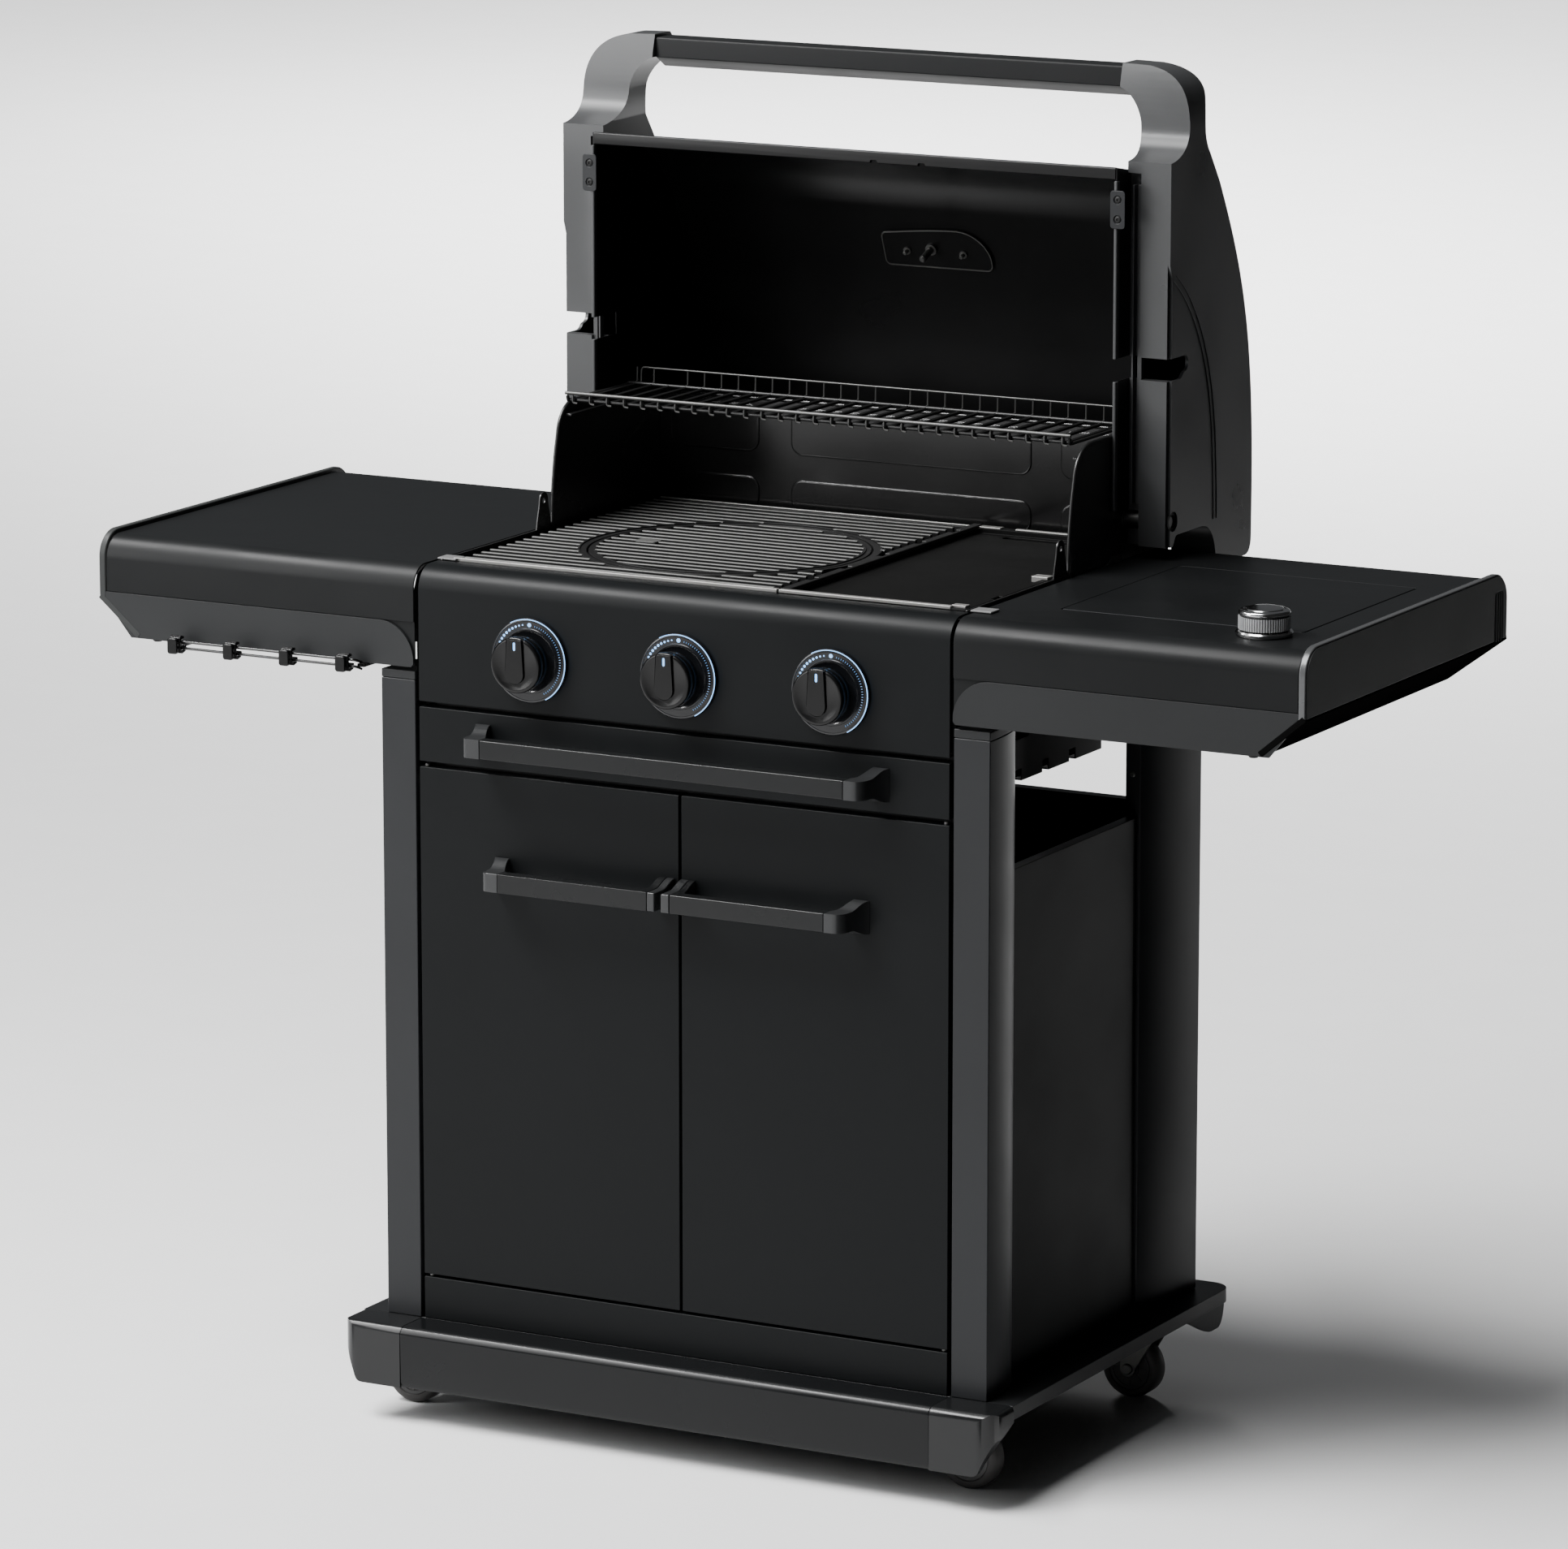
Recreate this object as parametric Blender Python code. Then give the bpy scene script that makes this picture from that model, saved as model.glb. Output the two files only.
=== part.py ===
"""Gas barbecue grill on a four-caster cart: three burners, side burner, lift-up hood.

Units are metres, +Z up, +X to the grill's right-hand shelf as its user sees it, and the
user stands on the -Y side.  Sizes are written from three datums: the middle of the cart
(x), the front plane of the doors (y) and the floor (z).  The "cart" empty carries the
offset that puts the origin under the middle of the whole grill.
"""
import math

import bmesh
import bpy
from mathutils import Matrix, Vector

# ---------------------------------------------------------------- driving dimensions
GAP = 0.0003                   # clearance between pieces that touch
REVEAL = 0.0043                # visible gap between front panels and posts
OVERALL_WIDTH = 1.350          # over both side shelves
DOOR_HALF = 0.2977             # half the width of the doors, drawer and control panel
CART_DEPTH = 0.474             # front plane to the back of the rear posts
SHELF_HEIGHT = 0.8749          # shelf and control panel top surface
SHELF_DEPTH = 0.465            # shelf sheet, front to back
SHEET = 0.002                  # folded steel sheet
WALL = 0.003                   # moulded plastic wall

# base
BASE_TOP = 0.1012
BASE_HALF = 0.370
BASE_FRONT = -0.045
BASE_BACK = 0.504
BASE_LIP = 0.015               # depth of the tray's side lip
BASE_FASCIA_LOW = 0.038
CORNER_SEAM = 0.301            # where the fascia meets the corner pieces
CORNER_TAPER = 0.020           # how far the corner pieces draw in at their foot

# casters
WHEEL_RADIUS = 0.0315
WHEEL_WIDTH = 0.024
CASTER_X = 0.318
CASTER_FRONT = 0.039
CASTER_BACK = 0.403
CASTER_TRAIL = 0.012
AXLE_RADIUS = 0.004
FORK_SHEET = 0.0025

# posts and panels
POST_WIDTH = 0.0393
POST_DEPTH = 0.0743
POST_TUCK = 0.0105             # how far the side face curves in towards the side panel
POST_TOP = 0.768
REAR_POST_FRONT = 0.3546
REAR_POST_FLANGE = 0.017
SIDE_PANEL_TOP = 0.617
PLINTH_TOP = 0.1448
DOOR_TOP = 0.6719
DOOR_THICK = 0.018
FRONT_SEAM = 0.003             # gap under the doors and between them
DOOR_PIN = 0.006               # hinge pin inset from the door's outer and front faces
DRAWER_LOW = 0.6778
DRAWER_TOP = 0.733
PANEL_LOW = 0.7388
PANEL_BACK = 0.040
EDGE_RADIUS = 0.024            # rolled front edge of the panel and the shelves

# handles
HANDLE_REACH = 0.0424
HANDLE_HEIGHT = 0.019
HANDLE_DEPTH = 0.014
HANDLE_FOOT = 0.0336
HANDLE_FLARE = 0.008
FOOT_WIDTH = 0.017
DRAWER_HANDLE_HALF = 0.2242
DOOR_HANDLE_OUTER = 0.2030
DOOR_HANDLE_INNER = 0.0035
DOOR_HANDLE_Z = 0.572

# knobs and gas parts
KNOB_PITCH = 0.1687
KNOB_Z = 0.7915
BEZEL_RADIUS = 0.0427
BEZEL_BORE = 0.0125
BEZEL_DEPTH = 0.0045
KNOB_RADIUS = 0.028
KNOB_FACE = -0.031
KNOB_PUSH = 0.003
STEM_RADIUS = 0.004
STEM_PLAY = 0.0006
MANIFOLD_Y = 0.0215
MANIFOLD_RADIUS = 0.008
BURNER_RADIUS = 0.011

# firebox and grates
BOX_HALF = 0.2955
BOX_WALL = 0.0035
BOX_FRONT = 0.0405
BOX_BACK = 0.487
BOX_SHOULDER = 0.800           # where the funnel starts
BOX_FLOOR = 0.722
FUNNEL_IN_X = 0.0855
FUNNEL_IN_Y = 0.078
BOX_RIM = 0.8765               # rim beside the grates
BOX_WALL_TOP = 0.997           # raised rear half of the side walls
WING_FRONT = 0.2609            # front edge of the raised half
SPIT_Y = 0.243
SPIT_TAB_TOP = 0.9137
GRATE_TOP = 0.8758
GRATE_THICK = 0.009
GRATE_LEFT = -0.2836
GRATE_SPLIT = 0.0840
GRATE_RIGHT = 0.2905
GRATE_FRONT = 0.0458
GRATE_BACK = 0.4696
GRATE_PLAY = 0.0012
INSERT_X = -0.0731
INSERT_Y = 0.2361
INSERT_RADIUS = 0.1425
INSERT_LEDGE = 0.006
SLOT_WIDTH = 0.0085
SLOT_PITCH = 0.0255

# warming rack
RACK_HALF = 0.2885
RACK_FRONT = 0.276
RACK_BACK = 0.413
RACK_Z = 1.003
RACK_WIRE = 0.004

# hood, drawn in its open place
HOOD_PIN_Y = 0.3873
HOOD_PIN_Z = 0.9133
PIN_RADIUS = 0.006
HOOD_HALF = 0.2985             # outside of the steel shell
HOOD_INNER = 0.2967            # inside of the shell's end plates
HOOD_SKIN = 0.0018
HOOD_LIP = 0.355
HOOD_LIP_LOW = 0.925
HOOD_RIM_TOP = 1.269
HOOD_FOOT = 0.853
HOOD_END_OUT = 0.3465
HOOD_FLANGE = 0.378
HOOD_END_LOW = 0.888
HOOD_CAST = 0.0035
HOOD_RECESS = 0.314
HORN_FACE = 0.4205
HORN_TOP = 1.364
HORN_FOOT = 1.2735
HORN_MEET = 0.267              # where the horns meet the handle bar
NOTCH_LOW = 1.0555
NOTCH_HIGH = 1.0782
NOTCH_END = 0.4200
HOOD_BACK = 0.5746
DIAL_Y = 0.5398                # where the thermometer's axis meets the hood
DIAL_Z = 1.1492
DIAL_LEAN = 22.0               # degrees the dial leans back with the hood's slope

# side shelves
SHELF_IN = 0.302
CAP_WIDTH = 0.009
CAP_RISE = 0.0045
CAP_LOW = 0.811
FASCIA_TOP = 0.8175
FASCIA_LOW = 0.7725
SLOPE_RUN = 0.046
LID_X = (0.3678, 0.6242)
LID_Y = (0.0985, 0.3630)
LID_THICK = 0.0027
LID_GAP = 0.0012
SIDE_KNOB_X = 0.597
SIDE_KNOB_Y = 0.0690
SIDE_KNOB_RADIUS = 0.0265
HOOK_PITCH = 0.0667
HOOK_FIRST = -0.5750
RAIL_Z = 0.7740
RAIL_Y = -0.020
RAIL_RADIUS = 0.003

ORIGIN_Y = (-BASE_FRONT - HOOD_BACK) / 2
POST_OUT = DOOR_HALF + REVEAL + POST_WIDTH
SIDES = {"left": -1, "right": 1}

# finish name: base colour, roughness, metallic
FINISHES = {
    "panel_black": ((0.022, 0.024, 0.025, 1), 0.38, 0.3),
    "post_grey": ((0.062, 0.065, 0.068, 1), 0.45, 0.3),
    "cast_grey": ((0.070, 0.073, 0.076, 1), 0.42, 0.5),
    "hood_black": ((0.008, 0.008, 0.009, 1), 0.25, 0.2),
    "enamel_black": ((0.012, 0.012, 0.012, 1), 0.30, 0.0),
    "iron_grey": ((0.130, 0.130, 0.128, 1), 0.55, 0.4),
    "steel_bright": ((0.420, 0.420, 0.410, 1), 0.25, 1.0),
    "knob_black": ((0.015, 0.015, 0.016, 1), 0.35, 0.0),
    "bezel_black": ((0.020, 0.021, 0.024, 1), 0.30, 0.1),
    "handle_satin": ((0.035, 0.036, 0.038, 1), 0.35, 0.6),
    "tyre_grey": ((0.150, 0.150, 0.150, 1), 0.70, 0.0),
}


# ---------------------------------------------------------------- outline helpers
def arc(a, b, radius, start, end, steps=6):
    """Points on an arc about (a, b), angles in degrees."""
    angles = [math.radians(start + (end - start) * i / steps) for i in range(steps + 1)]
    return [(a + radius * math.cos(t), b + radius * math.sin(t)) for t in angles]


def circle(a, b, radius, sides=32):
    return arc(a, b, radius, 0, 360, sides)[:-1]


def rectangle(a0, a1, b0, b1):
    return [(a0, b0), (a1, b0), (a1, b1), (a0, b1)]


def bezier(p0, p1, p2, p3, steps=8):
    """Points along a cubic curve, both ends included."""
    points = []
    for i in range(steps + 1):
        t = i / steps
        w = ((1 - t) ** 3, 3 * t * (1 - t) ** 2, 3 * t * t * (1 - t), t ** 3)
        points.append(tuple(sum(k * p[c] for k, p in zip(w, (p0, p1, p2, p3))) for c in (0, 1)))
    return points


def mirrored(outline, side):
    """The outline with its first coordinate turned to the given side."""
    return [(side * a, b) for a, b in outline]


def span(side, low, high):
    """An x range on the given side, low to high."""
    return (low, high) if side > 0 else (-high, -low)


# ---------------------------------------------------------------- solid helpers
def clear_scene():
    for obj in list(bpy.data.objects):
        bpy.data.objects.remove(obj, do_unlink=True)


def finish_material(finish):
    name = "mat_" + finish
    material = bpy.data.materials.get(name)
    if material is None:
        material = bpy.data.materials.new(name)
        material.use_nodes = True
        colour, roughness, metallic = FINISHES[finish]
        shader = material.node_tree.nodes["Principled BSDF"]
        shader.inputs["Base Color"].default_value = colour
        shader.inputs["Roughness"].default_value = roughness
        shader.inputs["Metallic"].default_value = metallic
        material.diffuse_color = colour
    return material


def add_solid(name, bm, finish):
    """Turn a bmesh into a linked object carried by the cart."""
    bmesh.ops.recalc_face_normals(bm, faces=bm.faces)
    mesh = bpy.data.meshes.new(name)
    bm.to_mesh(mesh)
    bm.free()
    obj = bpy.data.objects.new(name, mesh)
    bpy.context.scene.collection.objects.link(obj)
    carry(obj, CART)
    if finish:
        obj.data.materials.append(finish_material(finish))
    return obj


def prism(name, outline, axis, reach, finish=None):
    """Extrude an outline along an axis; the outline is in the other two axes, in order."""
    low, high = reach
    place = {"x": lambda a, b, c: (c, a, b), "y": lambda a, b, c: (a, c, b), "z": lambda a, b, c: (a, b, c)}[axis]
    bm = bmesh.new()
    ends = [[bm.verts.new(place(a, b, c)) for a, b in outline] for c in (low, high)]
    bm.faces.new(ends[0])
    bm.faces.new(ends[1])
    for i in range(len(outline)):
        j = (i + 1) % len(outline)
        bm.faces.new((ends[0][i], ends[0][j], ends[1][j], ends[1][i]))
    return add_solid(name, bm, finish)


def box(name, x, y, z, finish=None):
    return prism(name, rectangle(*x, *y), "z", z, finish)


def rod(name, axis, a, b, radius, reach, finish=None, sides=24):
    return prism(name, circle(a, b, radius, sides), axis, reach, finish)


def turned(name, profile, axis, a, b, finish=None, sides=40):
    """Turn a profile of (distance along axis, radius) about an axis through (a, b)."""
    bm = bmesh.new()
    place = {"x": lambda c, s, d: (d, a + c, b + s), "y": lambda c, s, d: (a + c, d, b + s),
             "z": lambda c, s, d: (a + c, b + s, d)}[axis]
    rings = []
    for along, radius in profile:
        points = [place(c, s, along) for c, s in circle(0, 0, radius, sides)]
        rings.append([bm.verts.new(p) for p in points])
    for lower, upper in zip(rings, rings[1:]):
        for i in range(sides):
            j = (i + 1) % sides
            bm.faces.new((lower[i], lower[j], upper[j], upper[i]))
    bm.faces.new(rings[0])
    bm.faces.new(rings[-1])
    obj = add_solid(name, bm, finish)
    obj.data.shade_smooth()
    obj.data.set_sharp_from_angle(angle=math.radians(35))
    return obj


def frustum(name, low_x, low_y, low_z, high_x, high_y, high_z, finish=None):
    """A hopper shape between two level rectangles."""
    bm = bmesh.new()
    low = [bm.verts.new((a, b, low_z)) for a, b in rectangle(*low_x, *low_y)]
    high = [bm.verts.new((a, b, high_z)) for a, b in rectangle(*high_x, *high_y)]
    bm.faces.new(low)
    bm.faces.new(high)
    for i in range(4):
        j = (i + 1) % 4
        bm.faces.new((low[i], low[j], high[j], high[i]))
    return add_solid(name, bm, finish)


def combine(obj, operation, tools):
    for tool in tools:
        modifier = obj.modifiers.new(operation.lower(), "BOOLEAN")
        modifier.operation = operation
        modifier.solver = "EXACT"
        modifier.object = tool
        tool.hide_render = True
        tool.display_type = "WIRE"
        tool.name = "tool_" + obj.name
        carry(tool, obj.parent)
    return obj


def cut(obj, *tools):
    return combine(obj, "DIFFERENCE", tools)


def join(obj, *tools):
    return combine(obj, "UNION", tools)


def keep(obj, *tools):
    return combine(obj, "INTERSECT", tools)


def pan(name, x, y, z, wall, open_side, finish):
    """A box of folded sheet, open on one side: '+y', '+z' or '-z'."""
    outer = box(name, x, y, z, finish)
    inner = [[low + wall, high - wall] for low, high in (x, y, z)]
    index = "xyz".index(open_side[1])
    if open_side[0] == "+":
        inner[index][1] += 3 * wall
    else:
        inner[index][0] -= 3 * wall
    return cut(outer, box("pocket", *inner))


# ---------------------------------------------------------------- bodies
def world_to_cart(empty):
    """The place of an empty in the cart's own sizes."""
    place = Vector((0, 0, 0))
    while empty is not CART:
        place += Vector(empty.location)
        empty = empty.parent
    return place


def carry(obj, empty):
    """Hang an object, drawn in the cart's sizes, on a body's empty."""
    obj.parent = empty
    obj.location = -world_to_cart(empty)
    for modifier in obj.modifiers:
        carry(modifier.object, empty)
    return obj


def pivot(name, place, parent):
    """An empty on a joint axis, given in the cart's sizes."""
    empty = bpy.data.objects.new(name, None)
    bpy.context.scene.collection.objects.link(empty)
    empty.parent = parent
    empty.location = Vector(place) - world_to_cart(parent)
    return empty


# ---------------------------------------------------------------- base and casters
def make_base():
    tray_low = BASE_TOP - GAP - BASE_LIP
    tray = pan("base_tray", (-BASE_HALF, BASE_HALF), (0, BASE_BACK), (tray_low, BASE_TOP - GAP),
               SHEET, "-z", "panel_black")
    skirt = [(CASTER_BACK - 0.025, tray_low + 0.004), (0.470, 0.059), (BASE_BACK - 0.004, 0.075),
             (BASE_BACK - GAP, tray_low + 0.004)]
    for side in SIDES.values():
        reach = span(side, BASE_HALF - WALL, BASE_HALF - GAP)
        join(tray, prism("skirt", skirt, "x", reach))
    lip = BASE_TOP - WALL
    fascia = [(BASE_FRONT, BASE_FASCIA_LOW), (BASE_FRONT, BASE_TOP - 0.007)]
    fascia += arc(BASE_FRONT + 0.007, BASE_TOP - 0.007, 0.007, 180, 90, 5)
    fascia += [(-GAP, BASE_TOP), (-GAP, lip), (BASE_FRONT + 0.007, lip),
               (BASE_FRONT + WALL, BASE_TOP - 0.007), (BASE_FRONT + WALL, BASE_FASCIA_LOW)]
    prism("base_fascia", fascia, "x", (-CORNER_SEAM + GAP, CORNER_SEAM - GAP), "panel_black")
    for name, side in SIDES.items():
        make_base_corner(name, side, lip)


def make_base_corner(name, side, lip):
    """A moulded corner: rounded in plan, drawn in at its foot, open behind and below."""
    foot = BASE_HALF - CORNER_TAPER
    front = [(CORNER_SEAM, BASE_FASCIA_LOW), (foot, BASE_FASCIA_LOW), (foot + 0.006, 0.045),
             (BASE_HALF - 0.003, 0.074), (BASE_HALF, 0.086), (BASE_HALF, BASE_TOP), (CORNER_SEAM, BASE_TOP)]
    corner = prism("base_corner_front_" + name, mirrored(front, side), "y", (BASE_FRONT, -GAP), "post_grey")
    radius = 0.020
    plan = [(CORNER_SEAM - 0.01, 0.01), (CORNER_SEAM - 0.01, BASE_FRONT)]
    plan += arc(BASE_HALF - radius, BASE_FRONT + radius, radius, -90, 0, 5) + [(BASE_HALF, 0.01)]
    keep(corner, prism("plan", mirrored(plan, side), "z", (0.0, 0.2)))
    inside = [(CORNER_SEAM - 0.01, 0.02), (CORNER_SEAM - 0.01, BASE_FRONT + WALL)]
    inside += arc(BASE_HALF - radius - 0.010, BASE_FRONT + radius, radius - WALL, -90, 0, 5)
    inside += [(BASE_HALF - 0.013, 0.02)]
    under = [(BASE_FRONT + 0.006, 0.0), (BASE_FRONT + 0.006, BASE_FASCIA_LOW + 0.004), (0.001, 0.084), (0.001, 0.0)]
    cut(corner, prism("inside", mirrored(inside, side), "z", (0.0, lip)),
        prism("under", under, "x", span(side, CORNER_SEAM - 0.01, BASE_HALF + 0.01)))


def make_caster(place, side, y):
    name = place + ("_right" if side > 0 else "_left")
    x = side * CASTER_X
    swivel = pivot("swivel_" + name, (x, y, BASE_TOP), CART)
    plate_top = BASE_TOP - GAP - SHEET - GAP
    axle_x = x - CASTER_TRAIL
    bridge = 2 * WHEEL_RADIUS + 0.003
    cheek = WHEEL_WIDTH / 2 + 0.0015
    cheek_outline = [(axle_x - 0.008, WHEEL_RADIUS - 0.006), (axle_x + 0.008, WHEEL_RADIUS - 0.006),
                     (x + 0.016, bridge + 0.001), (x - 0.018, bridge + 0.001)]
    fork = box("caster_fork_" + name, (x - 0.018, x + 0.016), (y - cheek - FORK_SHEET, y + cheek + FORK_SHEET),
               (bridge, bridge + 0.004), "steel_bright")
    for face in (-1, 1):
        reach = sorted((y + face * cheek, y + face * (cheek + FORK_SHEET)))
        join(fork, prism("cheek", cheek_outline, "y", reach))
    pin_reach = (y - cheek - 0.001, y + cheek + 0.001)
    join(fork, rod("axle", "y", axle_x, WHEEL_RADIUS, AXLE_RADIUS, pin_reach, sides=20),
         rod("stem", "z", x, y, 0.012, (bridge + 0.002, plate_top - 0.001), sides=24),
         box("plate", (x - 0.022, x + 0.022), (y - 0.018, y + 0.018), (plate_top - 0.003, plate_top)))
    carry(fork, swivel)
    axle = pivot("axle_" + name, (axle_x, y, WHEEL_RADIUS), swivel)
    half = WHEEL_WIDTH / 2
    rim = WHEEL_RADIUS
    bore = AXLE_RADIUS + 0.0003
    profile = [(-half, 0.010), (-half, rim - 0.011), (-half + 0.003, rim - 0.009), (-half, rim - 0.006),
               (-half + 0.001, rim - 0.0025), (-half + 0.004, rim)]
    profile += [(-d, r) for d, r in reversed(profile)]
    wheel = turned("caster_wheel_" + name, [(y + d, r) for d, r in profile], "y", axle_x, WHEEL_RADIUS,
                   "tyre_grey", 28)
    cut(wheel, rod("bore", "y", axle_x, WHEEL_RADIUS, bore, (y - 2 * half, y + 2 * half), sides=20))
    carry(wheel, axle)


# ---------------------------------------------------------------- cart body
def make_posts():
    inner = DOOR_HALF + REVEAL
    tucked = POST_OUT - POST_TUCK
    skin = 0.0025
    side_face = bezier((POST_OUT, 0), (POST_OUT, POST_DEPTH * 0.45), (POST_OUT - 0.003, POST_DEPTH * 0.8),
                       (tucked, POST_DEPTH), 6)
    inside_face = [(a - skin, b) for a, b in reversed(side_face[1:-1])]
    front = [(inner, 0.0)] + side_face + [(tucked - skin, POST_DEPTH)] + inside_face
    front += [(POST_OUT - skin, skin), (inner + skin, skin), (inner + skin, 0.030), (inner, 0.030)]
    depth = CART_DEPTH - REAR_POST_FRONT
    back_face = bezier((tucked, REAR_POST_FRONT), (POST_OUT - 0.003, REAR_POST_FRONT + depth * 0.2),
                       (POST_OUT, REAR_POST_FRONT + depth * 0.55), (POST_OUT, CART_DEPTH), 6)
    flange = tucked - REAR_POST_FLANGE
    rear = back_face + [(inner, CART_DEPTH), (inner, CART_DEPTH - skin), (POST_OUT - skin, CART_DEPTH - skin)]
    rear += [(a - skin, b) for a, b in reversed(back_face[1:-1])]
    rear += [(tucked - skin, REAR_POST_FRONT + skin), (flange, REAR_POST_FRONT + skin), (flange, REAR_POST_FRONT)]
    for name, side in SIDES.items():
        reach = (BASE_TOP, POST_TOP)
        prism("post_front_" + name, mirrored(front, side), "z", reach, "post_grey")
        prism("post_rear_" + name, mirrored(rear, side), "z", reach, "post_grey")


def make_panels():
    plane = POST_OUT - POST_TUCK - 0.0030
    for name, side in SIDES.items():
        sheet = [(plane, BASE_TOP + GAP), (plane, SIDE_PANEL_TOP), (plane - 0.012, SIDE_PANEL_TOP),
                 (plane - 0.012, SIDE_PANEL_TOP - SHEET), (plane - SHEET, SIDE_PANEL_TOP - SHEET),
                 (plane - SHEET, BASE_TOP + GAP)]
        prism("side_panel_" + name, mirrored(sheet, side), "y",
              (POST_DEPTH - 0.014, REAR_POST_FRONT - GAP), "panel_black")
    back = CART_DEPTH - 0.0028
    rear = [(back, BASE_TOP + GAP), (back, 0.610), (back - 0.014, 0.610), (back - 0.014, 0.608),
            (back - SHEET, 0.608), (back - SHEET, BASE_TOP + GAP)]
    rear_half = DOOR_HALF + REVEAL + POST_WIDTH - 0.006
    prism("rear_panel", rear, "x", (-rear_half, rear_half), "panel_black")
    top = PLINTH_TOP
    plinth = [(0.0, BASE_TOP + GAP), (0.0, top), (0.016, top), (0.016, top - SHEET), (SHEET, top - SHEET),
              (SHEET, BASE_TOP + SHEET), (0.016, BASE_TOP + SHEET), (0.016, BASE_TOP + GAP)]
    prism("plinth_panel", plinth, "x", (-DOOR_HALF, DOOR_HALF), "panel_black")


def rolled_sheet(low, back, back_low, front=0.0, sheet=SHEET):
    """Section of a sheet with a rolled front top edge, and a rolled rear edge if back_low."""
    r = EDGE_RADIUS
    top = SHELF_HEIGHT
    outer = [(front, low)] + arc(front + r, top - r, r, 180, 90, 8)
    inner = arc(front + r, top - r, r - sheet, 90, 180, 8) + [(front + sheet, low)]
    if back_low is None:
        return outer + [(back, top), (back, top - sheet)] + inner
    outer += arc(back - r, top - r, r, 90, 0, 8) + [(back, back_low), (back - sheet, back_low)]
    return outer + arc(back - r, top - r, r - sheet, 0, 90, 8) + inner


def make_control_panel():
    panel = prism("control_panel", rolled_sheet(PANEL_LOW, PANEL_BACK, None), "x",
                  (-DOOR_HALF, DOOR_HALF), "panel_black")
    for x in (-KNOB_PITCH, 0, KNOB_PITCH):
        cut(panel, rod("stem_hole", "y", x, KNOB_Z, STEM_RADIUS + 0.002, (-0.01, 0.02), sides=20))


def make_handle(name, left, right, z, left_flare, right_flare, empty):
    """A flat bar on two feet; a foot leans outwards by its flare."""
    front = -HANDLE_REACH
    back = front + HANDLE_DEPTH
    low, high = z - HANDLE_HEIGHT / 2, z + HANDLE_HEIGHT / 2
    corner = 0.006
    plan = arc(left + corner, front + corner, corner, 180, 270, 4)
    plan += arc(right - corner, front + corner, corner, 270, 360, 4)
    plan += [(right + right_flare, -GAP), (right + right_flare - FOOT_WIDTH, -GAP), (right - FOOT_WIDTH, back),
             (left + FOOT_WIDTH, back), (left - left_flare + FOOT_WIDTH, -GAP), (left - left_flare, -GAP)]
    handle = prism(name, plan, "z", (z - HANDLE_FOOT / 2, z + HANDLE_FOOT / 2), "handle_satin")
    rise = HANDLE_FOOT / 2
    section = [(front - 0.01, low), (back, low), (0.01, z - rise), (0.01, z + rise), (back, high), (front - 0.01, high)]
    keep(handle, prism("taper", section, "x", (left - 0.05, right + 0.05)))
    return carry(handle, empty)


def make_doors():
    low = PLINTH_TOP + FRONT_SEAM
    for name, side in SIDES.items():
        pin = (side * (DOOR_HALF - DOOR_PIN), DOOR_PIN, low)
        hinge = pivot("hinge_door_" + name, pin, CART)
        reach = span(side, FRONT_SEAM / 2, DOOR_HALF)
        door = pan("door_" + name, reach, (0, DOOR_THICK), (low, DOOR_TOP), 0.0015, "+y", "panel_black")
        carry(door, hinge)
        ends = span(side, DOOR_HANDLE_INNER, DOOR_HANDLE_OUTER)
        flares = (0, HANDLE_FLARE) if side > 0 else (HANDLE_FLARE, 0)
        make_handle("door_handle_" + name, *ends, DOOR_HANDLE_Z, *flares, hinge)


def make_drawer():
    slide = pivot("slide_drawer", (0, 0, (DRAWER_LOW + DRAWER_TOP) / 2), CART)
    front = pan("drawer_front", (-DOOR_HALF, DOOR_HALF), (0, DOOR_THICK), (DRAWER_LOW, DRAWER_TOP),
                0.0015, "+y", "panel_black")
    carry(front, slide)
    tray = pan("drip_tray", (-0.270, 0.270), (DOOR_THICK + GAP, 0.380), (0.681, 0.704), 0.0015, "+z", "enamel_black")
    carry(tray, slide)
    make_handle("drawer_handle", -DRAWER_HANDLE_HALF, DRAWER_HANDLE_HALF, (DRAWER_LOW + DRAWER_TOP) / 2,
                HANDLE_FLARE, HANDLE_FLARE, slide)


# ---------------------------------------------------------------- knobs and gas
def make_knobs():
    for number, x in enumerate((-KNOB_PITCH, 0, KNOB_PITCH), 1):
        profile = [(-GAP, BEZEL_RADIUS), (-BEZEL_DEPTH + 0.0015, BEZEL_RADIUS),
                   (-BEZEL_DEPTH, BEZEL_RADIUS - 0.0015), (-BEZEL_DEPTH, 0.031), (-0.0025, 0.028)]
        bezel = turned(f"knob_bezel_{number}", profile, "y", x, KNOB_Z, "bezel_black", 36)
        cut(bezel, rod("bore", "y", x, KNOB_Z, BEZEL_BORE, (-0.02, 0.02)))
        push = pivot(f"push_{number}", (x, 0, KNOB_Z), CART)
        stem = rod(f"valve_stem_{number}", "y", x, KNOB_Z, STEM_RADIUS, (KNOB_FACE + 0.012, MANIFOLD_Y), "steel_bright")
        carry(stem, push)
        turn = pivot(f"turn_{number}", (x, KNOB_FACE, KNOB_Z), push)
        make_knob(f"knob_{number}", x, turn)


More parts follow.
